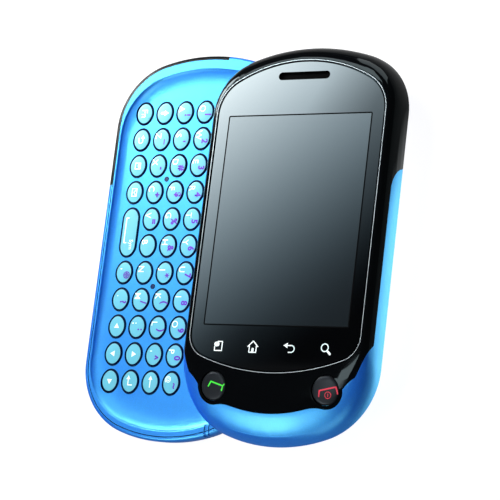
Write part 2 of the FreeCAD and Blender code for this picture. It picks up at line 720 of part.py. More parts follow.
def chin_wire():
    """Plan edge of the dark chin: from the sides in to a waist, round each key and across the bottom."""
    radius = ROUND_KEY_RADIUS + LOBE_MARGIN

    def on_lobe(degrees):
        turn = math.radians(degrees)
        return ROUND_KEY_X + radius * math.cos(turn), ROUND_KEY_Y + radius * math.sin(turn)

    side = SIDE + 1
    waist_end = on_lobe(5)
    lobe_end = on_lobe(-100)
    middle = ((CHIN_WAIST[0] + waist_end[0]) / 2 - 0.35, (CHIN_WAIST[1] + waist_end[1]) / 2 - 0.1)
    dip = (lobe_end[0] - 4.5, lobe_end[1] - 0.25)
    saddle = ((lobe_end[0] + dip[0]) / 2, lobe_end[1] + 0.12)
    right = [
        (side, CHIN_START_Y),
        CHIN_BULGE,
        CHIN_WAIST,
        middle,
        waist_end,
        on_lobe(-45),
        lobe_end,
        saddle,
        dip,
    ]
    left = [(-x, y) for x, y in reversed(right)]
    edges = arc_chain(right) + arc_chain([dip, (0, CHIN_DIP_Y), left[0]]) + arc_chain(left)
    corners = [(-side, CHIN_START_Y), (-side, REACH), (side, REACH), (side, CHIN_START_Y)]
    for first, second in zip(corners, corners[1:]):
        edges.append(Part.LineSegment(Vec(*first, 0), Vec(*second, 0)).toShape())
    return Part.Wire(edges)


def coloured_zone():
    """Space of the coloured frame: below the side seam, and outside the dark chin above it."""
    y1 = SIDE_SEAM_Y
    z0 = SIDE_SEAM_Z - SIDE_SEAM_BEND_Z
    bend = Part.Ellipse(Vec(0, y1, z0), Vec(0, y1 - SIDE_SEAM_BEND_Y, SIDE_SEAM_Z), Vec(0, y1 - SIDE_SEAM_BEND_Y, z0))
    quarter = Part.ArcOfEllipse(bend, 0, math.pi / 2).toShape()
    corners = [
        quarter.Vertexes[-1].Point,
        Vec(0, -REACH, SIDE_SEAM_Z),
        Vec(0, -REACH, DISPLAY_Z - 1),
        Vec(0, y1, DISPLAY_Z - 1),
        quarter.Vertexes[0].Point,
    ]
    edges = [quarter]
    for first, second in zip(corners, corners[1:]):
        if first.distanceToPoint(second) > 1e-6:
            edges.append(Part.LineSegment(first, second).toShape())
    profile = Part.Face(Part.Wire(Part.__sortEdges__(edges)))
    profile.translate(-X_AXIS * REACH)
    low = profile.extrude(X_AXIS * 2 * REACH)
    chin = block(-REACH, REACH, -REACH, CHIN_START_Y, SIDE_SEAM_Z - 1, REACH)
    inner = Part.Face(chin_wire()).extrude(Z_AXIS * REACH)
    return low.fuse(chin.cut(inner))


def panel_block(gap, z0, z1):
    half = PANEL_WIDTH / 2 + gap
    half_y = PANEL_LENGTH / 2 + gap
    return block(-half, half, PANEL_CENTRE_Y - half_y, PANEL_CENTRE_Y + half_y, z0, z1)


def surface_height(outer, x, y):
    """Height of the display half's upper surface."""
    return outer.common(Part.makeLine(Vec(x, y, DISPLAY_Z), Vec(x, y, 2 * THICKNESS))).BoundBox.ZMax


def round_key_seat(outer, side):
    """Middle of a round key's top and its outward direction, square to the chin's surface there."""
    x = side * ROUND_KEY_X
    step = ROUND_KEY_RADIUS
    heights = [surface_height(outer, x + step * dx, ROUND_KEY_Y + step * dy) for dx, dy in SAMPLE_STEPS]
    slope_x = (heights[0] - heights[1]) / (2 * step)
    slope_y = (heights[2] - heights[3]) / (2 * step)
    outward = Vec(-slope_x, -slope_y, 1).normalize()
    middle = (surface_height(outer, x, ROUND_KEY_Y) + sum(heights) / len(heights)) / 2
    return Vec(x, ROUND_KEY_Y, middle) - outward * ROUND_KEY_SUNK, outward


def round_key(outer, side):
    top, outward = round_key_seat(outer, side)
    return rod(ROUND_KEY_RADIUS, top - outward * ROUND_KEY_HEIGHT, ROUND_KEY_HEIGHT, outward)


def round_key_pocket(outer, side):
    top, outward = round_key_seat(outer, side)
    depth = ROUND_KEY_HEIGHT + ROUND_KEY_TRAVEL + PRESS_REST_GAP
    return rod(ROUND_KEY_RADIUS + ROUND_KEY_CLEARANCE, top - outward * depth, 2 * depth, outward)


def display_frame(outer):
    """Coloured frame with the floor, the slide channels and the seat of the display panel."""
    core = outline_prism(inset(BODY_OUTLINE, SKIRT_THICK), DISPLAY_Z, PANEL_BOTTOM_Z)
    frame = outer.common(coloured_zone()).fuse(core)
    half = carriage_half_width() + FIT_GAP / 2
    half_y = CARRIAGE_HALF_LENGTH + FIT_GAP / 2
    tools = [
        rounded_block(-half, half, -half_y, half_y, DISPLAY_Z - 1, CARRIAGE_TOP_Z, PLATE_CORNER),
        panel_block(FIT_GAP, PANEL_BOTTOM_Z, REACH),
    ]
    start, end = slot_range()
    half_channel = SHOE_HEAD / 2 + SHOE_CLEARANCE
    for side in (1, -1):
        y = side * SHOE_Y
        tools.append(block(start, end, y - half_channel, y + half_channel, CARRIAGE_TOP_Z - 0.01, CHANNEL_TOP_Z))
        tools.append(round_key_pocket(outer, side))
    return single(cut_all(frame, tools))


def glass_outline():
    return inset(RING_OUTLINE, RING_WIDTH + RING_LIP)


def front_bezel(outer):
    """Gloss bezel round the glass, with the chin and the skirt that wraps the top end."""
    core = outline_prism(inset(BODY_OUTLINE, SKIRT_THICK), DISPLAY_Z - 1, PANEL_BOTTOM_Z)
    bezel = outer.cut(coloured_zone()).cut(core)
    tools = [
        outline_prism(RING_OUTLINE, THICKNESS - RING_DEPTH, REACH),
        outline_prism(glass_outline(), GLASS_BOTTOM_Z, REACH),
        panel_block(FIT_GAP, PANEL_BOTTOM_Z - 1, REACH),
        round_key_pocket(outer, 1),
        round_key_pocket(outer, -1),
    ]
    return single(cut_all(bezel, tools))


def trim_ring():
    inner = outline_prism(inset(RING_OUTLINE, RING_WIDTH), -1, REACH)
    return outline_prism(RING_OUTLINE, THICKNESS - RING_DEPTH, THICKNESS).cut(inner)


def touch_glass():
    glass = outline_prism(inset(glass_outline(), SEAM_GAP / 2), GLASS_BOTTOM_Z, GLASS_TOP_Z)
    return glass.cut(stadium(0, EARPIECE_Y, EARPIECE_LENGTH, EARPIECE_WIDTH, GLASS_BOTTOM_Z - 1, REACH))


def display_panel():
    return panel_block(0, PANEL_BOTTOM_Z, PANEL_TOP_Z)


# ---------------------------------------------------------------- names and files
TOP_ROW = ("q", "w", "e", "r", "t", "y", "u", "i", "o", "p", "at")
HOME_ROW = ("a", "s", "d", "f", "g", "h", "j", "k", "l", "quote", "delete")
LETTER_ROW = ("shift", "z", "x", "c", "v", "b", "n", "m", "semicolon", "up", "enter")
LOWER_ROW = ("fn", "back", "menu", "message", "space", "", "globe", "period", "left", "down", "right")
KEY_NAMES = (LOWER_ROW, LETTER_ROW, HOME_ROW, TOP_ROW)


def pieces():
    """Every node of the phone with its shape."""
    base = base_block()
    yield "keyboard_frame", keyboard_frame(base)
    yield "rear_housing", rear_housing(base)
    yield "battery_cover", battery_cover(base)
    yield "key_mat", key_mat()
    yield "main_board", main_board()
    yield "battery", battery_block(0, BATTERY_BOTTOM_Z, BATTERY_TOP_Z)
    yield "headset_jack", headset_jack()
    yield "volume_key", volume_key()
    yield "slide_plate", slide_plate()
    for column, row, x, y, extra in key_places():
        yield "key_" + KEY_NAMES[column][row], key_cap(x, y, extra)
    outer = display_block()
    display = [
        ("display_frame", display_frame(outer)),
        ("front_bezel", front_bezel(outer)),
        ("trim_ring", trim_ring()),
        ("touch_glass", touch_glass()),
        ("display_panel", display_panel()),
        ("slide_carriage", slide_carriage()),
        ("call_key", round_key(outer, -1)),
        ("end_key", round_key(outer, 1)),
    ]
    for name, shape in display:
        yield name, shape.translated(X_AXIS * SLIDE_TRAVEL)


def main():
    os.makedirs("parts", exist_ok=True)
    for name, shape in pieces():
        shape.exportStep(os.path.join("parts", name + ".step"))
        box = shape.BoundBox
        print(
            f"{name:16s} solids {len(shape.Solids)} valid {shape.isValid()} volume {shape.Volume:9.1f}"
            f" z {box.ZMin:6.2f} to {box.ZMax:6.2f}"
        )


main()
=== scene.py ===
"""Looks of a slider phone: its shells, keys, legends, glass, icons and a soft studio."""

import json
import logging
import math
from collections.abc import Callable
from dataclasses import dataclass, field
from enum import Enum, IntEnum

import bmesh
import bpy
from mathutils import Matrix, Vector


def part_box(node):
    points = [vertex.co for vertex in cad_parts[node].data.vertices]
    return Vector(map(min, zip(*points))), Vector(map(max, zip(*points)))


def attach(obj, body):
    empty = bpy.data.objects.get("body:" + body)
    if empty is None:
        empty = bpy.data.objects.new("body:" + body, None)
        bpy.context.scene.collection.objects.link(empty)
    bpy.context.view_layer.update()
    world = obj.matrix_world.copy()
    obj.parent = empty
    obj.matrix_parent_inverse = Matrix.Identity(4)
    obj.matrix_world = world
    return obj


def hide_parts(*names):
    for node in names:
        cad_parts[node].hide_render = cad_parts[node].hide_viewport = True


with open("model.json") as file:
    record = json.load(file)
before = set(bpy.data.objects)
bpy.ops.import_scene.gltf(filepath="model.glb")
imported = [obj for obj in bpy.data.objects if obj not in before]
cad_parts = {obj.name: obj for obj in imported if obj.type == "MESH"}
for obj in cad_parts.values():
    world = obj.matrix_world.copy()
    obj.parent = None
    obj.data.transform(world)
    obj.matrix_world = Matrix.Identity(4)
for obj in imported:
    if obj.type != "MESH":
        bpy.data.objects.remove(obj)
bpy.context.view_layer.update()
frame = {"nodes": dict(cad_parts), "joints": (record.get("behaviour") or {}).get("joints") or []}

MM = 0.001
MERGE = 0.002 * MM  # corners nearer than this become one
FINE = 0.01 * MM  # height of fine grain
SCREEN_CENTRE = (35.5, 5.4)  # millimetres, with the slide open
LOG = logging.getLogger("slider_phone")

Pair = tuple[float, float]
Triple = tuple[float, float, float]
Socket = bpy.types.NodeSocket
Sockets = bpy.types.bpy_prop_collection
BMesh = bmesh.types.BMesh


class Slot(Enum):
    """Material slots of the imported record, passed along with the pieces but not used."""

    BLUE = "blue_shell"
    BLACK = "black_shell"
    PIANO = "piano_black"
    KEY = "key_turquoise"
    ROUND_KEY = "round_key_black"
    RING = "bright_ring"
    GLASS = "screen_glass"


class Layer(IntEnum):
    """Material numbers on a key."""

    BODY = 0
    INK = 1
    SECOND_INK = 2
    SHADED_FLANK = 3


# ------------ node sheets
@dataclass
class Sheet:
    """A node tree with short ways to add and join its nodes."""

    tree: bpy.types.NodeTree

    def give(self, node: bpy.types.Node, values: dict) -> None:
        """Sets inputs of a node.

        Args:
            node: The node.
            values: Input name or number to a socket, a number or a colour.
        """
        for key, value in values.items():
            if isinstance(value, Socket):
                self.tree.links.new(value, node.inputs[key])
            else:
                node.inputs[key].default_value = (*value, 1.0) if isinstance(value, tuple) else value

    def add(self, kind: str, values: dict | None = None, **settings: object) -> bpy.types.Node:
        """Adds one node.

        Args:
            kind: Node type without its ShaderNode prefix.
            values: Input name or number to a socket, a number or a colour.
            settings: Properties of the node.

        Returns:
            The new node.
        """
        node = self.tree.nodes.new("ShaderNode" + kind)
        for key, value in settings.items():
            setattr(node, key, value)
        self.give(node, values or {})
        return node

    def math(self, operation: str, *terms: object, clamp: bool = False) -> Socket:
        """Does a sum on sockets or numbers; a clamped result stays between 0 and 1."""
        return self.add("Math", dict(enumerate(terms)), operation=operation, use_clamp=clamp).outputs[0]

    def mix(self, share: object, first: object, second: object) -> Socket:
        """Mixes two colours, each a socket or a colour, by a socket or a number."""
        return self.add("Mix", {0: share, 6: first, 7: second}, data_type="RGBA").outputs[2]

    def object_point(self) -> Socket:
        """The shaded point in the part's own coordinates."""
        return self.add("TexCoord").outputs["Object"]

    def axes(self) -> Sockets:
        """The shaded point's X, Y and Z."""
        return self.add("SeparateXYZ", {0: self.object_point()}).outputs

    def noise(self, scale: object, detail: float) -> Socket:
        """Noise from 0 to 1 over the part, at a scale that is a number or a socket."""
        values = {"Vector": self.object_point(), "Scale": scale, "Detail": detail, "Roughness": 0.55}
        return self.add("TexNoise", values).outputs[0]

    def bump(self, height: object, distance: float, strength: float) -> Socket:
        """Normal from a height of 0 to 1, whose unit is a distance in metres."""
        values = {"Strength": strength, "Distance": distance, "Height": height}
        return self.add("Bump", values).outputs[0]


class Effect:
    """An effect that several finishes share, kept as one node group."""

    name: str
    inputs: dict[str, float]
    outputs: tuple[str, ...]

    @classmethod
    def place(cls, sheet: Sheet, **values: float) -> Sockets:
        """Puts the group into a material.

        Args:
            sheet: The material's nodes.
            values: Input name to its number.

        Returns:
            The group's outputs.
        """
        group = bpy.data.node_groups.get(cls.name) or cls.build()
        return sheet.add("Group", values, node_tree=group).outputs

    @classmethod
    def build(cls) -> bpy.types.NodeTree:
        """Makes the group with its sockets and its inside.

        Returns:
            The group.
        """
        group = bpy.data.node_groups.new(cls.name, "ShaderNodeTree")
        for key, value in cls.inputs.items():
            socket = group.interface.new_socket(key, in_out="INPUT", socket_type="NodeSocketFloat")
            socket.default_value = value
        for key in cls.outputs:
            group.interface.new_socket(key, in_out="OUTPUT", socket_type="NodeSocketFloat")
        sheet = Sheet(group)
        given = group.nodes.new("NodeGroupInput").outputs
        sheet.give(group.nodes.new("NodeGroupOutput"), cls.draw(sheet, given))
        return group

    @classmethod
    def draw(cls, sheet: Sheet, given: Sockets) -> dict[str, Socket]:
        """Draws the group's inside from its given inputs, and tells what each output gets."""
        raise NotImplementedError


class Flakes(Effect):
    """Fine metal flakes under lacquer: a sparkle mask and a height."""

    name = "metal flakes"
    inputs = {"Scale": 5200.0}
    outputs = ("Sparkle", "Height")

    @classmethod
    def draw(cls, sheet: Sheet, given: Sockets) -> dict[str, Socket]:
        """Two random numbers for each cell."""
        values = {"Vector": sheet.object_point(), "Scale": given["Scale"], "Randomness": 1.0}
        cells = sheet.add("TexVoronoi", values).outputs["Color"]
        split = sheet.add("SeparateColor", {0: cells}).outputs
        return {"Sparkle": split[0], "Height": split[1]}


class Grain(Effect):
    """Fine grain of moulded plastic as a height."""

    name = "moulded grain"
    inputs = {"Scale": 2600.0}
    outputs = ("Height",)

    @classmethod
    def draw(cls, sheet: Sheet, given: Sockets) -> dict[str, Socket]:
        """Plain noise."""
        return {"Height": sheet.noise(given["Scale"], 3.0)}


class Handling(Effect):
    """Faint wiping marks: a roughness that wanders between two values."""

    name = "handling marks"
    inputs = {"Smooth": 0.04, "Rough": 0.12, "Scale": 60.0}
    outputs = ("Roughness",)

    @classmethod
    def draw(cls, sheet: Sheet, given: Sockets) -> dict[str, Socket]:
        """Noise with more contrast, spread over the span between the two values."""
        share = sheet.math("MULTIPLY_ADD", sheet.noise(given["Scale"], 4.0), 2.2, -0.6, clamp=True)
        span = sheet.math("SUBTRACT", given["Rough"], given["Smooth"])
        return {"Roughness": sheet.math("MULTIPLY_ADD", share, span, given["Smooth"])}


# ------------ finishes
@dataclass(frozen=True)
class Finish:
    """A procedural finish, made once and shared by the pieces that wear it."""

    name: str

    def material(self) -> bpy.types.Material:
        """Makes the material on first use.

        Returns:
            The finish's material.
        """
        made = bpy.data.materials.get(self.name)
        if made is None:
            made = bpy.data.materials.new(self.name)
            made.use_nodes = True
            sheet = Sheet(made.node_tree)
            sheet.give(made.node_tree.nodes["Principled BSDF"], self.draw(sheet))
        return made

    def draw(self, sheet: Sheet) -> dict[str, object]:
        """Draws the nodes for the shader's inputs."""
        raise NotImplementedError


@dataclass(frozen=True)
class MetallicPaint(Finish):
    """Metallic lacquer: a deep pigment under brighter flakes and a clear coat."""

    colour: Triple = (0.0008, 0.062, 0.7)
    flake: Triple = (0.003, 0.11, 0.83)
    shine: Triple = (0.1, 0.67, 0.88)
    ior: float = 4.0
    roughness: float = 0.38
    wander: float = 0.03
    coat: float = 0.4
    coat_roughness: float = 0.3

    def draw(self, sheet: Sheet) -> dict[str, object]:
        """Draws the nodes for the shader's inputs."""
        flakes = Flakes.place(sheet)
        share = sheet.math("POWER", flakes["Sparkle"], 2.0)
        low, high = self.roughness - self.wander, self.roughness + self.wander
        return {
            "Base Color": sheet.mix(share, self.colour, self.flake),
            "Roughness": Handling.place(sheet, Smooth=low, Rough=high, Scale=90.0)[0],
            "IOR": self.ior,
            "Specular Tint": self.shine,
            "Coat Weight": self.coat,
            "Coat Roughness": self.coat_roughness,
            "Normal": sheet.bump(flakes["Height"], FINE, 0.15),
        }


@dataclass(frozen=True)
class Plastic(Finish):
    """Moulded plastic or rubber with a little grain and handling marks."""

    colour: Triple = (0.01, 0.01, 0.012)
    patch: Triple = (0.014, 0.014, 0.017)
    smooth: float = 0.3
    rough: float = 0.4
    grain: float = 2600.0
    depth: float = 0.1
    ior: float = 1.5
    shine: Triple = (1.0, 1.0, 1.0)
    metallic: float = 0.0
    patch_scale: float = 140.0
    mark_scale: float = 60.0

    def draw(self, sheet: Sheet) -> dict[str, object]:
        """Draws the nodes for the shader's inputs."""
        marks = Handling.place(sheet, Smooth=self.smooth, Rough=self.rough, Scale=self.mark_scale)
        return {
            "Base Color": sheet.mix(sheet.noise(self.patch_scale, 3.0), self.colour, self.patch),
            "Metallic": self.metallic,
            "Roughness": marks[0],
            "IOR": self.ior,
            "Specular Tint": self.shine,
            "Normal": sheet.bump(Grain.place(sheet, Scale=self.grain)[0], FINE, self.depth),
        }


@dataclass(frozen=True)
class Metal(Plastic):
    """Plain metal, brushed or bright, with fine grain."""

    grain: float = 3000.0
    depth: float = 0.05
    metallic: float = 1.0
    patch_scale: float = 300.0
    mark_scale: float = 200.0


@dataclass(frozen=True)
class ScreenGlass(Finish):
    """Touch glass: a black border printed behind it round a dark grey screen.

    The coat mirrors evenly over the screen. Over the border it is painted_reflection_coat at the middle
    of the screen's width and at Y = 0, and changes by painted_reflection_across and painted_reflection_along
    for each metre. This is a painted reflection, graded so that the mirrored light fades towards the bottom
    right.
    """

    half: Pair = (21.62, 28.8)
    border: Triple = (0.0012, 0.0014, 0.0018)
    window: Triple = (0.011, 0.015, 0.018)
    dot_contrast: float = 1.25
    window_coat: float = 0.7
    painted_reflection_coat: float = 0.2
    painted_reflection_across: float = -50.0
    painted_reflection_along: float = 25.0
    coat_roughness: float = 0.03

    def draw(self, sheet: Sheet) -> dict[str, object]:
        """Draws the nodes for the shader's inputs."""
        axes = sheet.axes()
        outside = []
        for place in (0, 1):
            away = sheet.math("ABSOLUTE", sheet.math("SUBTRACT", axes[place], SCREEN_CENTRE[place] * MM))
            outside.append(sheet.math("SUBTRACT", away, self.half[place] * MM))
        inside = sheet.math("LESS_THAN", sheet.math("MAXIMUM", *outside), 0.0)
        pale = tuple(self.dot_contrast * part for part in self.window)
        screen = sheet.mix(sheet.noise(9000.0, 0.0), self.window, pale)
        # Painted reflection: the border's coat is graded so that its mirrored light fades towards the bottom
        # right.
        across = sheet.math("SUBTRACT", axes[0], SCREEN_CENTRE[0] * MM)
        along = sheet.math("MULTIPLY_ADD", axes[1], self.painted_reflection_along, self.painted_reflection_coat)
        coat = sheet.math("MULTIPLY_ADD", across, self.painted_reflection_across, along, clamp=True)
        painted_reflection_weight = sheet.math("MULTIPLY", sheet.math("SUBTRACT", 1.0, inside), coat)
        return {
            "Base Color": sheet.mix(inside, self.border, screen),
            "Roughness": Handling.place(sheet, Smooth=0.03, Rough=0.06, Scale=45.0)[0],
            "Coat Weight": sheet.math("ADD", sheet.math("MULTIPLY", inside, self.window_coat), painted_reflection_weight),
            "Coat Roughness": self.coat_roughness,
        }


@dataclass(frozen=True)
class Print(Finish):
    """Printed ink of a legend or an icon, a little uneven, with a glow that gives it painted light of its
    own.
    """

    colour: Triple = (0.9, 0.97, 0.97)
    glow: float = 0.0
    thin_share: float = 0.9

    def draw(self, sheet: Sheet) -> dict[str, object]:
        """Draws the nodes for the shader's inputs."""
        thin = tuple(self.thin_share * part for part in self.colour)
        ink = sheet.mix(sheet.noise(4000.0, 1.0), self.colour, thin)
        # Painted light: the ink glows by itself, though there is no lamp in it.
        glow = {"Emission Color": ink, "Emission Strength": self.glow} if self.glow else {}
        return {"Base Color": ink, "Roughness": 0.4, **glow}


@dataclass(frozen=True)
class BoardLacquer(Finish):
    """Circuit board lacquer with its traces."""

    bricks: tuple[Triple, Triple, Triple] = ((0.01, 0.09, 0.05), (0.012, 0.11, 0.06), (0.05, 0.22, 0.1))
    speck: Triple = (0.02, 0.14, 0.08)
    relief: float = 0.02

    def draw(self, sheet: Sheet) -> dict[str, object]:
        """Draws the nodes for the shader's inputs."""
        values = dict(zip(("Color1", "Color2", "Mortar"), self.bricks))
        values |= {"Vector": sheet.object_point(), "Scale": 260.0, "Mortar Size": 0.03}
        brick = sheet.add("TexBrick", values).outputs
        return {
            "Base Color": sheet.mix(sheet.noise(900.0, 2.0), brick[0], self.speck),
            "Roughness": 0.35,
            "Normal": sheet.bump(brick["Fac"], self.relief * MM, 0.4),
        }


SKY_PAINT = MetallicPaint("sky blue lacquer")
GLOSS_BLACK = Plastic(
    "gloss black",
    colour=(0.0009, 0.001, 0.0014),
    patch=(0.0013, 0.0015, 0.002),
    smooth=0.04,
    rough=0.08,
    depth=0.01,
    ior=1.24,
    shine=(0.72, 0.94, 1.0),
)
HOUSING_BLACK = Plastic(
    "housing black",
    colour=(0.0012, 0.0016, 0.0024),
    patch=(0.0018, 0.0022, 0.0032),
    smooth=0.25,
    rough=0.35,
    depth=0.03,
    ior=1.25,
)
DEEP_BLACK = Plastic(
    "deep black",
    colour=(0.0006, 0.0007, 0.0009),
    patch=(0.001, 0.001, 0.0013),
    smooth=0.7,
    rough=0.8,
    ior=1.1,
)
KEY_PLASTIC = Plastic(
    "turquoise key", colour=(0.11, 0.5, 0.66), patch=(0.15, 0.56, 0.71), rough=0.38, grain=4000.0, depth=0.03
)
# Painted shade: a dull navy for key sides, key hole walls and seam walls, standing in for the shade in those
# gaps.
GAP_SHADE_NAVY = Plastic(
    "navy key flank",
    colour=(0.001, 0.006, 0.04),
    patch=(0.0015, 0.008, 0.055),
    smooth=0.5,
    rough=0.6,
    ior=1.15,
)
KEY_CHARCOAL = Plastic(
    "charcoal key",
    colour=(0.01, 0.012, 0.015),
    patch=(0.014, 0.016, 0.02),
    rough=0.38,
    grain=5000.0,
    depth=0.06,
    ior=1.26,
    shine=(0.8, 0.92, 1.0),
)
SILICONE_NAVY = Plastic(
    "navy silicone",
    colour=(0.002, 0.012, 0.07),
    patch=(0.003, 0.016, 0.09),
    smooth=0.22,
    rough=0.3,
    depth=0.05,
)
SOCKET_BLACK = Plastic("socket black", smooth=0.35, rough=0.5, depth=0.2)
PANEL_BLACK = Plastic("panel black", colour=(0.004, 0.004, 0.005))
BRIGHT_RING = Metal(
    "bright ring", colour=(0.5, 0.54, 0.56), patch=(0.44, 0.47, 0.49), smooth=0.3, rough=0.36
)
PRESSED_STEEL = Metal(
    "pressed steel", colour=(0.5, 0.5, 0.51), patch=(0.42, 0.42, 0.43), smooth=0.28, rough=0.4, depth=0.1
)
BATTERY_CAN = Metal(
    "battery can", colour=(0.72, 0.72, 0.73), patch=(0.62, 0.62, 0.64), smooth=0.35, rough=0.45, depth=0.15
)
BOARD_GREEN = BoardLacquer("green board")
TOUCH_GLASS = ScreenGlass("touch glass")
# The white, green and red inks glow faintly by themselves, which is painted light.
WHITE_INK = Print("white ink", glow=0.25)
PURPLE_INK = Print("purple ink", colour=(0.14, 0.012, 0.6))
GREEN_INK = Print("green ink", colour=(0.05, 0.75, 0.04), glow=0.2)
RED_INK = Print("red ink", colour=(0.72, 0.012, 0.05), glow=0.1)


# ------------ mesh helpers
def merged_copy(node: str) -> BMesh:
    """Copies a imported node's triangles and merges their corners.

    Args:
        node: Name of the node.

    Returns:
        The merged mesh.
    """
    bm = bmesh.new()
    bm.from_mesh(frame["nodes"][node].data)
    bmesh.ops.remove_doubles(bm, verts=bm.verts, dist=MERGE)
    return bm


def join_flat(bm: BMesh, limit: float) -> None:
    """Joins the faces that meet at less than an angle in degrees."""
    bmesh.ops.dissolve_limit(bm, angle_limit=math.radians(limit), verts=bm.verts, edges=bm.edges)


def soften(bm: BMesh, limit: float) -> None:
    """Shades a mesh smooth and keeps its harder edges sharp.

    Args:
        bm: The mesh.
        limit: Angle in degrees from which an edge is hard.
    """
    for face in bm.faces:
        face.smooth = True
    for edge in bm.edges:
        edge.smooth = not edge.is_manifold or edge.calc_face_angle(0.0) < math.radians(limit)


def bevel(bm: BMesh, geom: list, width: float, steps: int, kind: str = "EDGES", clamp: bool = False) -> None:
    """Rounds or chamfers edges or corners.

    Args:
        bm: The mesh.
        geom: The edges or corners.
        width: Width of the bevel, in the mesh's own unit.
        steps: Faces across it.
        kind: EDGES or VERTICES.
        clamp: Keeps the bevel from running past its neighbours.
    """
    bmesh.ops.bevel(
        bm, geom=geom, offset=width, offset_type="OFFSET", segments=steps, profile=0.5,
        affect=kind, clamp_overlap=clamp, material=-1,
    )


def inset(bm: BMesh, faces: list, width: float, boundary: bool = False) -> None:
    """Insets faces by a width, also from open edges where boundary is set."""
    bmesh.ops.inset_region(bm, faces=faces, thickness=width, use_boundary=boundary, use_even_offset=True)


def flat_sheet(size: Pair, middle: Pair = (0.0, 0.0), steps: tuple[int, int] = (1, 1)) -> BMesh:
    """Makes a flat rectangle.

    Args:
        size: Its sizes along X and along Y.
        middle: Its middle.
        steps: Faces along X and along Y.

    Returns:
        The mesh.
    """
    bm = bmesh.new()
    bmesh.ops.create_grid(bm, x_segments=steps[0], y_segments=steps[1], size=0.5)
    bmesh.ops.scale(bm, vec=(*size, 1.0), verts=bm.verts)
    bmesh.ops.translate(bm, vec=(*middle, 0.0), verts=bm.verts)
    return bm


def lift_onto_glass(bm: BMesh, lift: float) -> None:
    """Takes a flat mesh from millimetres to metres and lifts it over the touch glass."""
    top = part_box("touch_glass")[1].z
    bmesh.ops.scale(bm, vec=(MM, MM, MM), verts=bm.verts)
    bmesh.ops.translate(bm, vec=(0, 0, top + lift * MM), verts=bm.verts)


def linked(name: str, data: bpy.types.ID) -> bpy.types.Object:
    """Puts a mesh, a lamp or a camera into the scene as an object."""
    thing = bpy.data.objects.new(name, data)
    bpy.context.scene.collection.objects.link(thing)
    return thing


def placed(name: str, bm: BMesh) -> bpy.types.Object:
    """Puts a mesh into the scene as an object, and frees it.

    Args:
        name: Name of the object.
        bm: Its mesh.

    Returns:
        The object.
    """
    mesh = bpy.data.meshes.new(name)
    bm.to_mesh(mesh)
    bm.free()
    return linked(name, mesh)


def finished(
    name: str, bm: BMesh, finishes: list[Finish], body: str, slot: Slot, nodes: tuple[str, ...] = ()
) -> bpy.types.Object:
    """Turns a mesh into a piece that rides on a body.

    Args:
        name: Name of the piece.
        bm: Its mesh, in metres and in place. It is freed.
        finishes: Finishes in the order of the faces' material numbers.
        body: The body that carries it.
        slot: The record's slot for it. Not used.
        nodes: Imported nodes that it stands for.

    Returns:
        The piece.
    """
    piece = placed(name, bm)
    for finish in finishes:
        piece.data.materials.append(finish.material())
    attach(piece, body)
    if nodes:
        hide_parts(*nodes)
    LOG.info("%s: %d faces on %s", name, len(piece.data.polygons), body)
    return piece


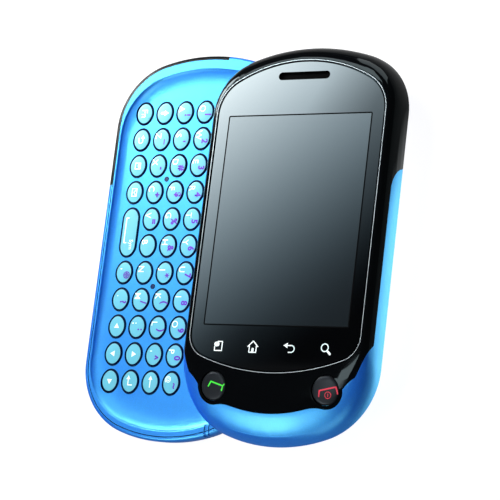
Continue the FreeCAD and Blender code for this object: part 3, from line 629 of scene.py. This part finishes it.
# ------------ signs
@dataclass
class Glyph:
    """A flat sign in its own plane, in millimetres, built from strokes and simple shapes."""

    bm: BMesh = field(default_factory=bmesh.new)

    def bar(self, start: Pair, end: Pair, width: float) -> None:
        """Adds a straight stroke with round ends.

        Args:
            start: One end.
            end: The other end.
            width: Stroke width.
        """
        first, last = Vector(start), Vector(end)
        way = last - first
        turn = Matrix.Rotation(math.atan2(way.y, way.x), 4, "Z")
        place = Matrix.Translation(((first + last) / 2).to_3d())
        stretch = Matrix.Diagonal((way.length / 2, width / 2, 1.0, 1.0))
        steps = max(1, math.ceil(way.length / 0.4))
        matrix = place @ turn @ stretch
        bmesh.ops.create_grid(self.bm, x_segments=steps, y_segments=1, size=1.0, matrix=matrix)
        for spot in (first, last):
            end_place = Matrix.Translation(spot.to_3d())
            bmesh.ops.create_circle(
                self.bm, cap_ends=True, segments=10, radius=width / 2, matrix=end_place
            )

    def path(self, points: list[Pair], width: float) -> None:
        """Adds strokes from point to point."""
        for start, end in zip(points, points[1:]):
            self.bar(start, end, width)

    def triangle(self, centre: Pair, radius: float, turn: float) -> None:
        """Adds a filled triangle that points along an angle in degrees."""
        place = Matrix.Translation((*centre, 0.0)) @ Matrix.Rotation(math.radians(turn), 4, "Z")
        matrix = place @ Matrix.Rotation(-math.pi / 2, 4, "Z")
        bmesh.ops.create_circle(self.bm, cap_ends=True, segments=3, radius=radius, matrix=matrix)

    def arc(self, centre: Pair, radius: float, angles: Pair, width: float, steps: int = 14) -> None:
        """Adds a curved stroke.

        Args:
            centre: Middle of the curve.
            radius: Its radius.
            angles: Its first and last angle, in degrees.
            width: Stroke width.
            steps: Straight strokes that make it up.
        """
        start, end = angles
        points = []
        for step in range(steps + 1):
            turn = math.radians(start + (end - start) * step / steps)
            points.append((centre[0] + radius * math.cos(turn), centre[1] + radius * math.sin(turn)))
        self.path(points, width)

    def star(self, centre: Pair, reach: float, width: float) -> None:
        """Adds three strokes that cross in a point."""
        for turn in (30, 90, 150):
            across, along = reach * math.cos(math.radians(turn)), reach * math.sin(math.radians(turn))
            start = (centre[0] - across, centre[1] - along)
            self.bar(start, (centre[0] + across, centre[1] + along), width)

    def text(self, words: str, height: float, centre: Pair, weight: float = 0.0) -> None:
        """Adds letters centred on a point.

        Args:
            words: The letters.
            height: Height of a capital.
            centre: Middle of the letters.
            weight: Extra boldness, as a share of the height.
        """
        curve = bpy.data.curves.new("letters", "FONT")
        curve.body = words
        curve.size = height / 0.72
        curve.offset = weight * height
        curve.resolution_u = 3
        holder = bpy.data.objects.new("letters", curve)
        mesh = bpy.data.meshes.new_from_object(holder)
        xs = [v.co.x for v in mesh.vertices]
        ys = [v.co.y for v in mesh.vertices]
        middle = Vector(((min(xs) + max(xs)) / 2, (min(ys) + max(ys)) / 2, 0.0))
        mesh.transform(Matrix.Translation(Vector((*centre, 0.0)) - middle))
        self.bm.from_mesh(mesh)
        bpy.data.objects.remove(holder)
        bpy.data.curves.remove(curve)
        bpy.data.meshes.remove(mesh)

    def mesh(self, turn: float = 0.0, ink: int = 0) -> bpy.types.Mesh:
        """Ends the glyph.

        Args:
            turn: Turn about its origin, in degrees.
            ink: Material number of its faces.

        Returns:
            Its mesh, facing up, in millimetres.
        """
        if turn:
            matrix = Matrix.Rotation(math.radians(turn), 3, "Z")
            bmesh.ops.rotate(self.bm, verts=self.bm.verts, matrix=matrix)
        self.bm.normal_update()
        for face in self.bm.faces:
            face.material_index = ink
            face.smooth = True
            if face.normal.z < 0:
                face.normal_flip()
        result = bpy.data.meshes.new("sign")
        self.bm.to_mesh(result)
        self.bm.free()
        return result


Stroke = tuple[object, ...]  # a method of the glyph, then what it takes
BAR, PATH, ARC, TRIANGLE = Glyph.bar, Glyph.path, Glyph.arc, Glyph.triangle
ROUND = (0, 360)
HOOK = (90, -90)

SIGNS: dict[str, tuple[Stroke, ...]] = {
    "fn": ((Glyph.text, "Fn", 1.9, (0.0, 0.0), 0.02),),
    "shift": ((TRIANGLE, (0.0, 0.5), 0.95, 90), (BAR, (0.0, -0.9), (0.0, 0.2), 0.75)),
    "back": (
        (TRIANGLE, (-0.7, 0.5), 0.7, 180),
        (BAR, (-0.5, 0.5), (0.5, 0.5), 0.3),
        (ARC, (0.4, -0.15), 0.65, HOOK, 0.3),
        (BAR, (0.4, -0.8), (-0.5, -0.8), 0.3),
    ),
    "menu": (
        (PATH, [(-0.85, -0.85), (0.85, -0.85), (0.85, 0.85), (-0.85, 0.85), (-0.85, -0.85)], 0.28),
        (BAR, (-0.5, 0.4), (0.1, 0.4), 0.8),
    ),
    "message": (
        (PATH, [(-1.1, -0.75), (1.1, -0.75), (1.1, 0.75), (-1.1, 0.75), (-1.1, -0.75)], 0.25),
        (PATH, [(-1.1, 0.75), (0.0, -0.15), (1.1, 0.75)], 0.25),
    ),
    "space": (
        (PATH, [(-4.1, -0.65), (-4.1, -1.35), (3.0, -1.35), (3.0, -0.65)], 0.32),
        (Glyph.text, "Sym", 1.25, (3.5, 0.85)),
    ),
    "globe": (
        (ARC, (0.75, 1.0), 0.9, ROUND, 0.3, 24),
        (BAR, (-0.15, 1.0), (1.65, 1.0), 0.22),
        (BAR, (0.75, 0.1), (0.75, 1.9), 0.22),
        (ARC, (0.75, 1.0), 0.48, ROUND, 0.2, 20),
    ),
    "j": ((Glyph.star, (0.75, 1.05), 0.6, 0.28),),
    "enter": (
        (TRIANGLE, (-1.0, -0.5), 0.75, 180),
        (BAR, (-0.8, -0.5), (0.95, -0.5), 0.3),
        (BAR, (0.95, -0.5), (0.95, 0.75), 0.3),
    ),
    "delete": ((TRIANGLE, (-1.05, 0.0), 0.75, 180), (BAR, (-0.9, 0.0), (1.35, 0.0), 0.3)),
    "up": ((TRIANGLE, (0.0, 0.0), 0.95, 90),),
    "down": ((TRIANGLE, (0.0, 0.0), 0.95, -90),),
    "left": ((TRIANGLE, (0.0, 0.0), 0.95, 180),),
    "right": ((TRIANGLE, (0.0, 0.0), 0.95, 0),),
    "call_key": (
        (PATH, [(-1.4, -0.05), (-0.65, 1.2), (3.05, 0.1), (2.75, -1.1)], 0.38),
        (BAR, (3.05, 0.1), (3.5, 0.55), 0.32),
    ),
    "end_key": (
        (PATH, [(-1.7, -1.6), (-1.6, -0.1), (3.05, 1.0), (3.55, -0.7)], 0.38),
        (ARC, (0.85, -1.2), 0.85, ROUND, 0.2, 24),
        (BAR, (0.85, -0.85), (0.85, -1.55), 0.2),
    ),
    "touch_menu": (
        (PATH, [(-0.2, 1.2), (1.15, 1.2), (1.15, -1.25), (-1.05, -1.25), (-1.05, -0.2)], 0.3),
        (BAR, (-0.65, 0.5), (-0.3, 0.5), 1.3),
    ),
    "touch_home": (
        (PATH, [(-1.5, 0.1), (0.0, 1.55), (1.5, 0.1)], 0.3),
        (PATH, [(-1.05, 0.3), (-1.05, -1.45), (1.05, -1.45), (1.05, 0.3)], 0.3),
        (BAR, (0.0, -1.2), (0.0, -0.6), 0.7),
    ),
    "touch_back": (
        (TRIANGLE, (-1.0, 0.65), 0.85, 180),
        (BAR, (-0.8, 0.65), (0.6, 0.65), 0.3),
        (ARC, (0.55, -0.25), 0.9, HOOK, 0.3),
        (BAR, (0.55, -1.15), (-0.2, -1.15), 0.3),
    ),
    "touch_search": ((ARC, (-0.3, 0.35), 1.0, ROUND, 0.3, 28), (BAR, (0.6, -0.6), (1.35, -1.3), 0.6)),
}
PURPLE_SIGNS = ("globe", "j")

# White signs of the keys that aren't named after them, and the smaller purple ones.
WHITE_SIGNS = {"at": "@", "quote": "'", "semicolon": ";", "period": ".", "globe": ","}
PURPLE_LETTERS = {
    **dict(zip("qwertyuiop", "1234567890")),
    **dict(zip("asdfghkl", "!'#$%&()")),
    **dict(zip("zxcvm", "_-+=/")),
    **{"at": "~", "quote": "^", "semicolon": ":", "period": "?"},
}


def sign(strokes: tuple[Stroke, ...], turn: float = 0.0, ink: int = 0) -> bpy.types.Mesh:
    """Draws a sign.

    Args:
        strokes: Its strokes, each a method of the glyph with what it takes.
        turn: Turn about its origin, in degrees.
        ink: Material number of its faces.

    Returns:
        Its mesh, in millimetres.
    """
    glyph = Glyph()
    for shape, *values in strokes:
        shape(glyph, *values)
    return glyph.mesh(turn, ink)


def print_sign(bm: BMesh, mesh: bpy.types.Mesh, laid: Callable[[Vector], Vector]) -> None:
    """Adds a sign to a piece.

    Args:
        bm: Mesh of the piece.
        mesh: Mesh of the sign. It is removed.
        laid: Gives the place on the piece for a point of the sign.
    """
    for vert in mesh.vertices:
        vert.co = laid(vert.co)
    bm.from_mesh(mesh)
    bpy.data.meshes.remove(mesh)


# ------------ shells
@dataclass
class Shell:
    """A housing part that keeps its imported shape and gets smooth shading."""

    node: str
    body: str
    slot: Slot
    finishes: list[Finish]
    limit: float = 32.0
    even: bool = True

    def build(self) -> None:
        """Copies, shapes and softens the node, and lets the copy stand for it."""
        bm = merged_copy(self.node)
        self.shape(bm)
        soften(bm, self.limit)
        for face in bm.faces:
            face.material_index = self.number(face)
        name = self.node + "_shell"
        piece = finished(name, bm, self.finishes, self.body, self.slot, (self.node,))
        if self.even:
            self.even_normals(piece)

    def shape(self, bm: BMesh) -> None:
        """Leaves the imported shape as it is."""

    def number(self, face: bmesh.types.BMFace) -> int:
        """A face's place in the finishes."""
        return face.material_index

    @staticmethod
    def even_normals(piece: bpy.types.Object) -> None:
        """Weights a piece's normals by face area, so flat faces stay flat beside rounded ones."""
        even = piece.modifiers.new("even normals", "WEIGHTED_NORMAL")
        even.mode = "FACE_AREA"
        even.weight = 50
        even.keep_sharp = True


@dataclass
class RingShell(Shell):
    """The trim ring: a bright line between two glossy dark edges."""

    limit: float = 50.0
    even: bool = False
    edge: float = 0.18

    def shape(self, bm: BMesh) -> None:
        """Sets a narrower bright land into the ring's top."""
        join_flat(bm, 0.5)
        bmesh.ops.triangulate(bm, faces=bm.faces[:])
        for face in bm.faces:
            face.material_index = 1
        top = [face for face in bm.faces if face.normal.z > 0.9]
        inset(bm, top, self.edge * MM, boundary=True)
        for face in top:
            face.material_index = 0


@dataclass
class KeyboardShell(Shell):
    """The keyboard frame, with a rounded dish edge and navy walls in its holes and seams, which are painted
    shade of these gaps.

    An edge is rounded where the Z of its upper face's normal is above top_from, that of its
    lower face's normal is between the two of wall_range, the lower face looks inwards, and
    the edge lies higher than from_height.
    """

    width: float = 0.22
    segments: int = 3
    top_from: float = 0.995
    wall_range: Pair = (0.3, 0.97)
    from_height: float = 8.3

    def shape(self, bm: BMesh) -> None:
        """Rounds the chosen edges."""
        join_flat(bm, 0.3)
        edges = [edge for edge in bm.edges if len(edge.link_faces) == 2 and self.chosen(edge)]
        bevel(bm, edges, self.width * MM, self.segments, clamp=True)

    def chosen(self, edge: bmesh.types.BMEdge) -> bool:
        """Tells whether an edge between two faces is rounded."""
        top, wall = sorted(edge.link_faces, key=lambda face: -face.normal.z)
        middle = (edge.verts[0].co + edge.verts[1].co) / 2
        inward = wall.normal.x * middle.x + wall.normal.y * middle.y < 0
        fits = top.normal.z > self.top_from and self.wall_range[0] < wall.normal.z < self.wall_range[1]
        return fits and inward and middle.z > self.from_height * MM

    def number(self, face: bmesh.types.BMFace) -> int:
        """A face's place in the finishes: steep walls get navy, which is painted shade."""
        return int(abs(face.normal.z) < 0.3)


@dataclass
class CoverShell(KeyboardShell):
    """The battery cover, with a chamfer and inner walls along its seams in navy, which is painted shade of
    the seams.
    """

    width: float = 0.13
    segments: int = 1
    top_from: float = 0.4
    wall_range: Pair = (-0.3, 0.3)
    from_height: float = 7.9
    inward_from: float = 0.002

    def number(self, face: bmesh.types.BMFace) -> int:
        """A face's place in the finishes: those that look inwards, up to the chamfer, get navy, which is
        painted shade.
        """
        middle = face.calc_center_median()
        outward = face.normal.x * middle.x + face.normal.y * middle.y
        inward = outward < -self.inward_from * middle.xy.length
        return int(inward and abs(face.normal.z) < 0.85)


# ------------ keyboard
@dataclass
class KeyCap:
    """A domed oval cap over one key, with its legends, and a navy rim and sides that paint the shade of the
    gap round it.
    """

    node: str
    dome: float = 0.1
    # Width of the rounded rim, which is navy as painted shade.
    edge: float = 0.33
    rings: int = 4
    ring_width: float = 0.42
    flat_within: float = 0.01
    lift: float = 0.025
    turn: float = -90.0
    white_height: float = 1.9
    white_weight: float = 0.005
    white_at: Pair = (-1.0, -1.0)
    at_sign_share: float = 0.75
    purple_height: float = 1.85
    purple_weight: float = 0.06
    purple_at: Pair = (0.75, 1.05)
    middle: Vector = field(init=False)
    half: Vector = field(init=False)
    top: float = field(init=False)
    flat_from: float = field(init=False)

    def __post_init__(self) -> None:
        """Reads the key's place from its box."""
        low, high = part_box(self.node)
        self.middle = (low + high) / 2
        self.half = (high - low) / 2
        self.top = high.z
        self.flat_from = high.z - self.flat_within * MM

    def build(self) -> None:
        """Builds the cap and prints its legends."""
        bm = merged_copy(self.node)
        join_flat(bm, 1.0)
        rim = [edge for edge in bm.edges if all(vert.co.z > self.flat_from for vert in edge.verts)]
        bevel(bm, rim, self.edge * MM, 3)
        flat = [face for face in bm.faces if face.calc_center_median().z > self.flat_from]
        crown = max(flat, key=lambda face: face.calc_area())
        # Painted shade: everything but the crown is navy, an outline standing in for the shade in the gap
        # round the key.
        for face in bm.faces:
            face.material_index = Layer.BODY if face is crown else Layer.SHADED_FLANK
        for _ in range(self.rings):
            inset(bm, [crown], self.ring_width * MM)
        bmesh.ops.poke(bm, faces=[crown])
        for vert in bm.verts:
            if vert.co.z > self.flat_from:
                vert.co.z = self.height(vert.co.x, vert.co.y)
        soften(bm, 50.0)
        for ink, strokes in self.legends():
            print_sign(bm, sign(strokes, self.turn, ink), self.laid)
        finishes = [KEY_PLASTIC, WHITE_INK, PURPLE_INK, GAP_SHADE_NAVY]
        finished(self.node + "_cap", bm, finishes, self.node, Slot.KEY, (self.node,))

    def height(self, x: float, y: float) -> float:
        """Height of the cap's top over a point, in metres."""
        across = (x - self.middle.x) / self.half.x
        along = (y - self.middle.y) / self.half.y
        return self.top + self.dome * MM * max(0.0, 1.0 - across**2 - along**2)

    def laid(self, point: Vector) -> Vector:
        """Place on the dome of a point of a legend."""
        x = self.middle.x + point.x * MM
        y = self.middle.y + point.y * MM
        return Vector((x, y, self.height(x, y) + self.lift * MM))

    def legends(self) -> list[tuple[Layer, tuple[Stroke, ...]]]:
        """Chooses what is printed on the key.

        Returns:
            The ink and the strokes of each legend.
        """
        name = self.node.removeprefix("key_")
        white = name.upper() if len(name) == 1 else WHITE_SIGNS.get(name)
        purple = PURPLE_LETTERS.get(name)
        found = []
        if white:
            height = self.white_height * (self.at_sign_share if white == "@" else 1.0)
            found.append((Layer.INK, ((Glyph.text, white, height, self.white_at, self.white_weight),)))
        if purple:
            letter = (Glyph.text, purple, self.purple_height, self.purple_at, self.purple_weight)
            found.append((Layer.SECOND_INK, (letter,)))
        if name in SIGNS:
            found.append((Layer.SECOND_INK if name in PURPLE_SIGNS else Layer.INK, SIGNS[name]))
        return found


@dataclass
class BaseHalf:
    """The lower half: its shells and its keyboard."""

    volume_key_limit: float = 40.0

    def build(self) -> None:
        """Builds every piece of the base half."""
        KeyboardShell("keyboard_frame", "base", Slot.BLUE, [SKY_PAINT, GAP_SHADE_NAVY]).build()
        Shell("rear_housing", "base", Slot.BLACK, [HOUSING_BLACK]).build()
        CoverShell("battery_cover", "battery_cover", Slot.BLUE, [SKY_PAINT, GAP_SHADE_NAVY]).build()
        Shell("volume_key", "volume_key", Slot.BLACK, [HOUSING_BLACK], self.volume_key_limit).build()
        for node in frame["nodes"]:
            if node.startswith("key_") and node != "key_mat":
                KeyCap(node).build()


# ------------ display half
@dataclass
class RoundKey:
    """A domed round key below the glass, with its printed handset."""

    node: str
    ink: Finish
    radius: float = 3.85
    height: float = 1.5
    dome: float = 0.14
    lift: float = 0.03
    sides: int = 64

    def build(self) -> None:
        """Builds the key and prints its sign."""
        axis = next(joint["axis"] for joint in frame["joints"] if joint["name"] == self.node + "_press")
        outward = -Vector(axis).normalized()
        low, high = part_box(self.node)
        top = (low + high) / 2 + outward * self.height / 2 * MM
        turn = Vector((0, 0, 1)).rotation_difference(outward).to_matrix().to_4x4()
        bm = bmesh.new()
        verts = [bm.verts.new((radius * MM, 0.0, height * MM)) for radius, height in self.profile()]
        edges = [bm.edges.new(pair) for pair in zip(verts, verts[1:])]
        bmesh.ops.spin(
            bm, geom=verts + edges, axis=(0, 0, 1), angle=2 * math.pi, steps=self.sides, use_merge=True
        )
        bmesh.ops.remove_doubles(bm, verts=bm.verts, dist=MERGE)
        bmesh.ops.recalc_face_normals(bm, faces=bm.faces)
        soften(bm, 40.0)
        print_sign(bm, sign(SIGNS[self.node], ink=Layer.INK), self.laid)
        bmesh.ops.transform(bm, matrix=Matrix.Translation(top) @ turn, verts=bm.verts)
        finishes = [KEY_CHARCOAL, self.ink]
        finished(self.node + "_cap", bm, finishes, self.node, Slot.ROUND_KEY, (self.node,))

    def profile(self) -> list[Pair]:
        """Radius and height of each point, from the top's middle to the foot's."""
        dome = [(0.0, self.dome), (1.3, 0.9 * self.dome), (2.5, 0.55 * self.dome), (3.2, 0.1 * self.dome)]
        side = [(3.52, -0.06), (3.72, -0.2), (self.radius, -0.45), (self.radius, -self.height)]
        return dome + side + [(0.0, -self.height)]

    def laid(self, point: Vector) -> Vector:
        """Place on the dome of a point of the sign."""
        out = math.hypot(point.x, point.y) / self.radius
        return Vector((point.x, point.y, self.dome * max(0.0, 1.0 - out**2) + self.lift)) * MM


@dataclass
class TouchIcons:
    """The four printed signs along the foot of the glass."""

    along: float = -29.1
    lift: float = 0.02
    places: tuple[tuple[str, float], ...] = (
        ("touch_menu", -16.35),
        ("touch_home", -5.83),
        ("touch_back", 5.09),
        ("touch_search", 15.74),
    )

    def build(self) -> None:
        """Prints the four signs on the glass."""
        bm = bmesh.new()
        for name, across in self.places:
            move = Vector((SCREEN_CENTRE[0] + across, self.along, 0.0))
            print_sign(bm, sign(SIGNS[name]), lambda point: point + move)
        lift_onto_glass(bm, self.lift)
        finished("touch_signs", bm, [WHITE_INK], "display_half", Slot.GLASS)


@dataclass
class ScreenOutline:
    """The thin matt line printed round the screen."""

    size: Pair = (43.5, 57.85)
    corner: float = 0.5
    width: float = 0.36
    lift: float = 0.02

    def build(self) -> None:
        """Prints the line on the glass."""
        bm = flat_sheet(self.size)
        bevel(bm, bm.verts[:], self.corner, 4, "VERTICES")
        inside = max(bm.faces, key=lambda face: face.calc_area())
        inset(bm, [inside], self.width, boundary=True)
        bmesh.ops.delete(bm, geom=[inside], context="FACES_ONLY")
        bmesh.ops.translate(bm, vec=(*SCREEN_CENTRE, 0.0), verts=bm.verts)
        lift_onto_glass(bm, self.lift)
        finished("screen_outline", bm, [DEEP_BLACK], "display_half", Slot.GLASS)


@dataclass
class Earpiece:
    """The dark grille in the earpiece slot."""

    middle: Pair = (35.5, 45.0)
    size: Pair = (15.5, 2.1)
    thickness: float = 0.25
    height: float = 0.3
    steps: tuple[int, int] = (40, 6)

    def build(self) -> None:
        """Builds the grille above the foot of the glass."""
        x, y = self.middle
        length, width = self.size
        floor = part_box("touch_glass")[0].z
        bm = flat_sheet((length * MM, width * MM), steps=self.steps)
        bmesh.ops.solidify(bm, geom=bm.faces[:], thickness=self.thickness * MM)
        bmesh.ops.recalc_face_normals(bm, faces=bm.faces)
        bmesh.ops.translate(bm, vec=(x * MM, y * MM, floor + self.height * MM), verts=bm.verts)
        finished("earpiece_grille", bm, [DEEP_BLACK], "display_half", Slot.BLACK)


@dataclass
class DisplayHalf:
    """The upper half: its frame, bezel, ring, glass and keys."""

    body: str = "display_half"

    def build(self) -> None:
        """Builds every piece of the display half."""
        Shell("display_frame", self.body, Slot.BLUE, [SKY_PAINT]).build()
        Shell("front_bezel", self.body, Slot.PIANO, [GLOSS_BLACK]).build()
        RingShell("trim_ring", self.body, Slot.RING, [BRIGHT_RING, GLOSS_BLACK]).build()
        Shell("touch_glass", self.body, Slot.GLASS, [TOUCH_GLASS]).build()
        Earpiece().build()
        ScreenOutline().build()
        TouchIcons().build()
        RoundKey("call_key", GREEN_INK).build()
        RoundKey("end_key", RED_INK).build()


@dataclass
class InnerParts:
    """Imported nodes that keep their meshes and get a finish."""

    finishes: dict[str, Finish] = field(
        default_factory=lambda: {
            "key_mat": SILICONE_NAVY,
            "main_board": BOARD_GREEN,
            "battery": BATTERY_CAN,
            "headset_jack": SOCKET_BLACK,
            "slide_plate": PRESSED_STEEL,
            "slide_carriage": PRESSED_STEEL,
            "display_panel": PANEL_BLACK,
        }
    )

    def dress(self) -> None:
        """Gives each node its material."""
        for node, finish in self.finishes.items():
            slots = frame["nodes"][node].data.materials
            slots.clear()
            slots.append(finish.material())
            LOG.info("%s: %s", node, finish.name)


# ------------ studio
def bare_material(name: str) -> tuple[bpy.types.Material, Sheet]:
    """Makes a material with an empty sheet.

    Args:
        name: Name of the material.

    Returns:
        The material and its sheet.
    """
    material = bpy.data.materials.new(name)
    material.use_nodes = True
    material.node_tree.nodes.clear()
    return material, Sheet(material.node_tree)


@dataclass
class SoftBox:
    """A plain rectangular lamp that looks at a point."""

    name: str
    place: Triple
    size: Pair
    radiance: float
    target: Triple = (0.02, 0.0, 0.01)
    spread: float = 180.0

    def build(self) -> None:
        """Builds the lamp."""
        data = bpy.data.lights.new(self.name, "AREA")
        data.shape = "RECTANGLE"
        data.size, data.size_y = self.size
        data.energy = self.radiance * self.size[0] * self.size[1] * math.pi
        data.spread = math.radians(self.spread)
        way = Vector(self.target) - Vector(self.place)
        turn = way.to_track_quat("-Z", "Y").to_matrix().to_4x4()
        linked(self.name, data).matrix_world = Matrix.Translation(self.place) @ turn


LAMPS = (
    SoftBox("key box", (-0.225, 0.165, 0.17), (0.11, 0.11), 2.9, target=(-0.02, 0.06, 0.008), spread=46.0),
    SoftBox("back box", (-0.165, 0.29, 0.36), (0.27, 0.12), 8.5, target=(-0.165, 0.0, 0.01)),
    SoftBox("front box", (-0.165, -0.28, 0.31), (0.15, 0.12), 10.5, target=(0.02, -0.04, 0.01)),
    SoftBox("overhead box", (-0.135, -0.065, 0.60), (0.15, 0.13), 9.0, target=(-0.135, -0.064, 0.0)),
    SoftBox("rim box", (0.1, 0.5, 0.17), (0.34, 0.26), 4.0),
    SoftBox("right box", (0.08, -0.5, 0.22), (0.3, 0.25), 1.5),
)


@dataclass
class GradientCard:
    """A large glowing card whose light fades across it, as a softbox does towards its edge.

    Its light follows a level: middle_level at the card's middle, which changes by rightwards and
    upwards for each unit of the view's angle. The light is the level, up to cap, to the power.
    """

    centre: Vector
    right: Vector
    up: Vector
    reach: float
    middle: Pair = (0.0425, 0.045)
    size: Pair = (0.225, 0.31)
    strength: float = 8.6
    middle_level: float = 0.512
    rightwards: float = -6.01
    upwards: float = 7.77
    power: float = 2.2
    cap: float = 1.25
    dim: Triple = (0.5, 0.8, 1.0)
    bright: Triple = (0.86, 0.97, 1.0)

    def build(self) -> None:
        """Builds the card."""
        card = placed("fading_card", flat_sheet(self.size, self.middle))
        out = self.right.cross(self.up)
        card.matrix_world = Matrix((*zip(self.right, self.up, out, self.centre), (0, 0, 0, 1)))
        card.visible_camera = False
        card.data.materials.append(self.glow())

    def glow(self) -> bpy.types.Material:
        """Makes the card's light, as bright as the level over its face gives.

        Returns:
            The material.
        """
        material, sheet = bare_material("fading light")
        axes = sheet.axes()
        across = sheet.math("MULTIPLY_ADD", axes[0], self.rightwards / self.reach, self.middle_level)
        level = sheet.math("MULTIPLY_ADD", axes[1], self.upwards / self.reach, across)
        kept = sheet.math("MINIMUM", sheet.math("MAXIMUM", level, 0.0), self.cap)
        colour = sheet.mix(sheet.math("MULTIPLY", kept, 1 / self.cap, clamp=True), self.dim, self.bright)
        strength = sheet.math("MULTIPLY", sheet.math("POWER", kept, self.power), self.strength)
        lamp = sheet.add("Emission", {"Color": colour, "Strength": strength})
        sheet.add("OutputMaterial", {0: lamp.outputs[0]})
        return material


@dataclass
class Studio:
    """Camera, floor and soft light."""

    eye: Triple = (0.31377, -0.11816, 0.50848)
    forward: Triple = (-0.4959, 0.1979, -0.8455)
    up: Triple = (-0.0044, 0.9731, 0.2304)
    lens: float = 157.8
    sensor: float = 36.0
    near: float = 0.01
    card_distance: float = 1.5
    floor_width: float = 8.0
    floor_height: float = -0.00002
    floor_dark: Triple = (0.21, 0.21, 0.21)
    floor_pale: Triple = (0.23, 0.23, 0.23)
    floor_shown: float = 0.91
    glow_in_pool: float = 3.0
    glow_elsewhere: float = 0.15
    pool_middle: Pair = (0.062, -0.008)
    pool_half: Pair = (0.021, 0.036)
    pool_fade: Pair = (1.6, -1.3)
    air_colour: Triple = (0.9, 0.96, 1.0)
    air_strength: float = 0.12

    def build(self) -> None:
        """Builds the camera, the floor and the lamps."""
        self.build_camera()
        self.build_floor()
        self.build_world()
        self.build_card()
        for lamp in LAMPS:
            lamp.build()
        bpy.context.scene.view_settings.view_transform = "Standard"

    def axes(self) -> tuple[Vector, Vector, Vector]:
        """Works out how the camera stands.

        Returns:
            Its right, up and forward directions.
        """
        forward = Vector(self.forward).normalized()
        right = forward.cross(Vector(self.up)).normalized()
        return right, right.cross(forward), forward

    def build_camera(self) -> None:
        """Builds the camera at the given place and direction."""
        right, up, forward = self.axes()
        data = bpy.data.cameras.new("view")
        data.lens = self.lens
        data.sensor_width = self.sensor
        data.clip_start = self.near
        camera = linked("view", data)
        camera.matrix_world = Matrix((*zip(right, up, -forward, self.eye), (0, 0, 0, 1)))
        bpy.context.scene.camera = camera

    def build_card(self) -> None:
        """Builds the fading card where the flat glass mirrors it."""
        mirror = Vector((1.0, 1.0, -1.0))
        right, up, forward = self.axes()
        eye = Vector(self.eye)
        hit = eye + forward * ((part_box("touch_glass")[1].z - eye.z) / forward.z)
        centre = hit + forward * mirror * self.card_distance
        reach = (hit - eye).length + self.card_distance
        GradientCard(centre, right * mirror, up * mirror, reach).build()

    def build_floor(self) -> None:
        """Builds a pale floor that looks white, lights the part and keeps its shadow."""
        floor = placed("floor", flat_sheet((self.floor_width, self.floor_width)))
        floor.location.z = self.floor_height
        material, sheet = bare_material("pale floor")
        paper = sheet.mix(sheet.noise(40.0, 2.0), self.floor_dark, self.floor_pale)
        matt = sheet.add("BsdfDiffuse", {"Color": paper})
        seen = sheet.add("LightPath").outputs["Is Camera Ray"]
        shown = sheet.math("MULTIPLY", seen, self.floor_shown)
        thrown = sheet.math("MULTIPLY", sheet.math("SUBTRACT", 1.0, seen), self.floor_glow(sheet))
        glow = sheet.add("Emission", {"Strength": sheet.math("ADD", shown, thrown)})
        both = sheet.add("AddShader", {0: matt.outputs[0], 1: glow.outputs[0]})
        sheet.add("OutputMaterial", {0: both.outputs[0]})
        floor.data.materials.append(material)

    def floor_glow(self, sheet: Sheet) -> Socket:
        """The light that the floor throws: strong in a pool beside the part, weak elsewhere.

        Args:
            sheet: The floor material's nodes.

        Returns:
            The strength's socket.
        """
        axes = sheet.axes()
        squares = []
        for place in (0, 1):
            away = sheet.math("SUBTRACT", axes[place], self.pool_middle[place])
            share = sheet.math("ABSOLUTE", sheet.math("DIVIDE", away, self.pool_half[place]))
            squares.append(sheet.math("POWER", share, 2.0))
        ring = sheet.math("SQRT", sheet.math("ADD", *squares))
        far = sheet.math("MULTIPLY_ADD", ring, *self.pool_fade, clamp=True)
        fall = self.glow_elsewhere - self.glow_in_pool
        return sheet.math("MULTIPLY_ADD", far, fall, self.glow_in_pool)

    def build_world(self) -> None:
        """Builds an even, dim surrounding."""
        world = bpy.data.worlds.new("surround")
        world.use_nodes = True
        bpy.context.scene.world = world
        values = {"Color": self.air_colour, "Strength": self.air_strength}
        Sheet(world.node_tree).give(world.node_tree.nodes["Background"], values)


def main() -> None:
    """Builds the studio and both halves."""
    logging.basicConfig(level=logging.INFO, format="%(name)s %(message)s")
    Studio().build()
    BaseHalf().build()
    DisplayHalf().build()
    InnerParts().dress()


if __name__ == "__main__":
    main()
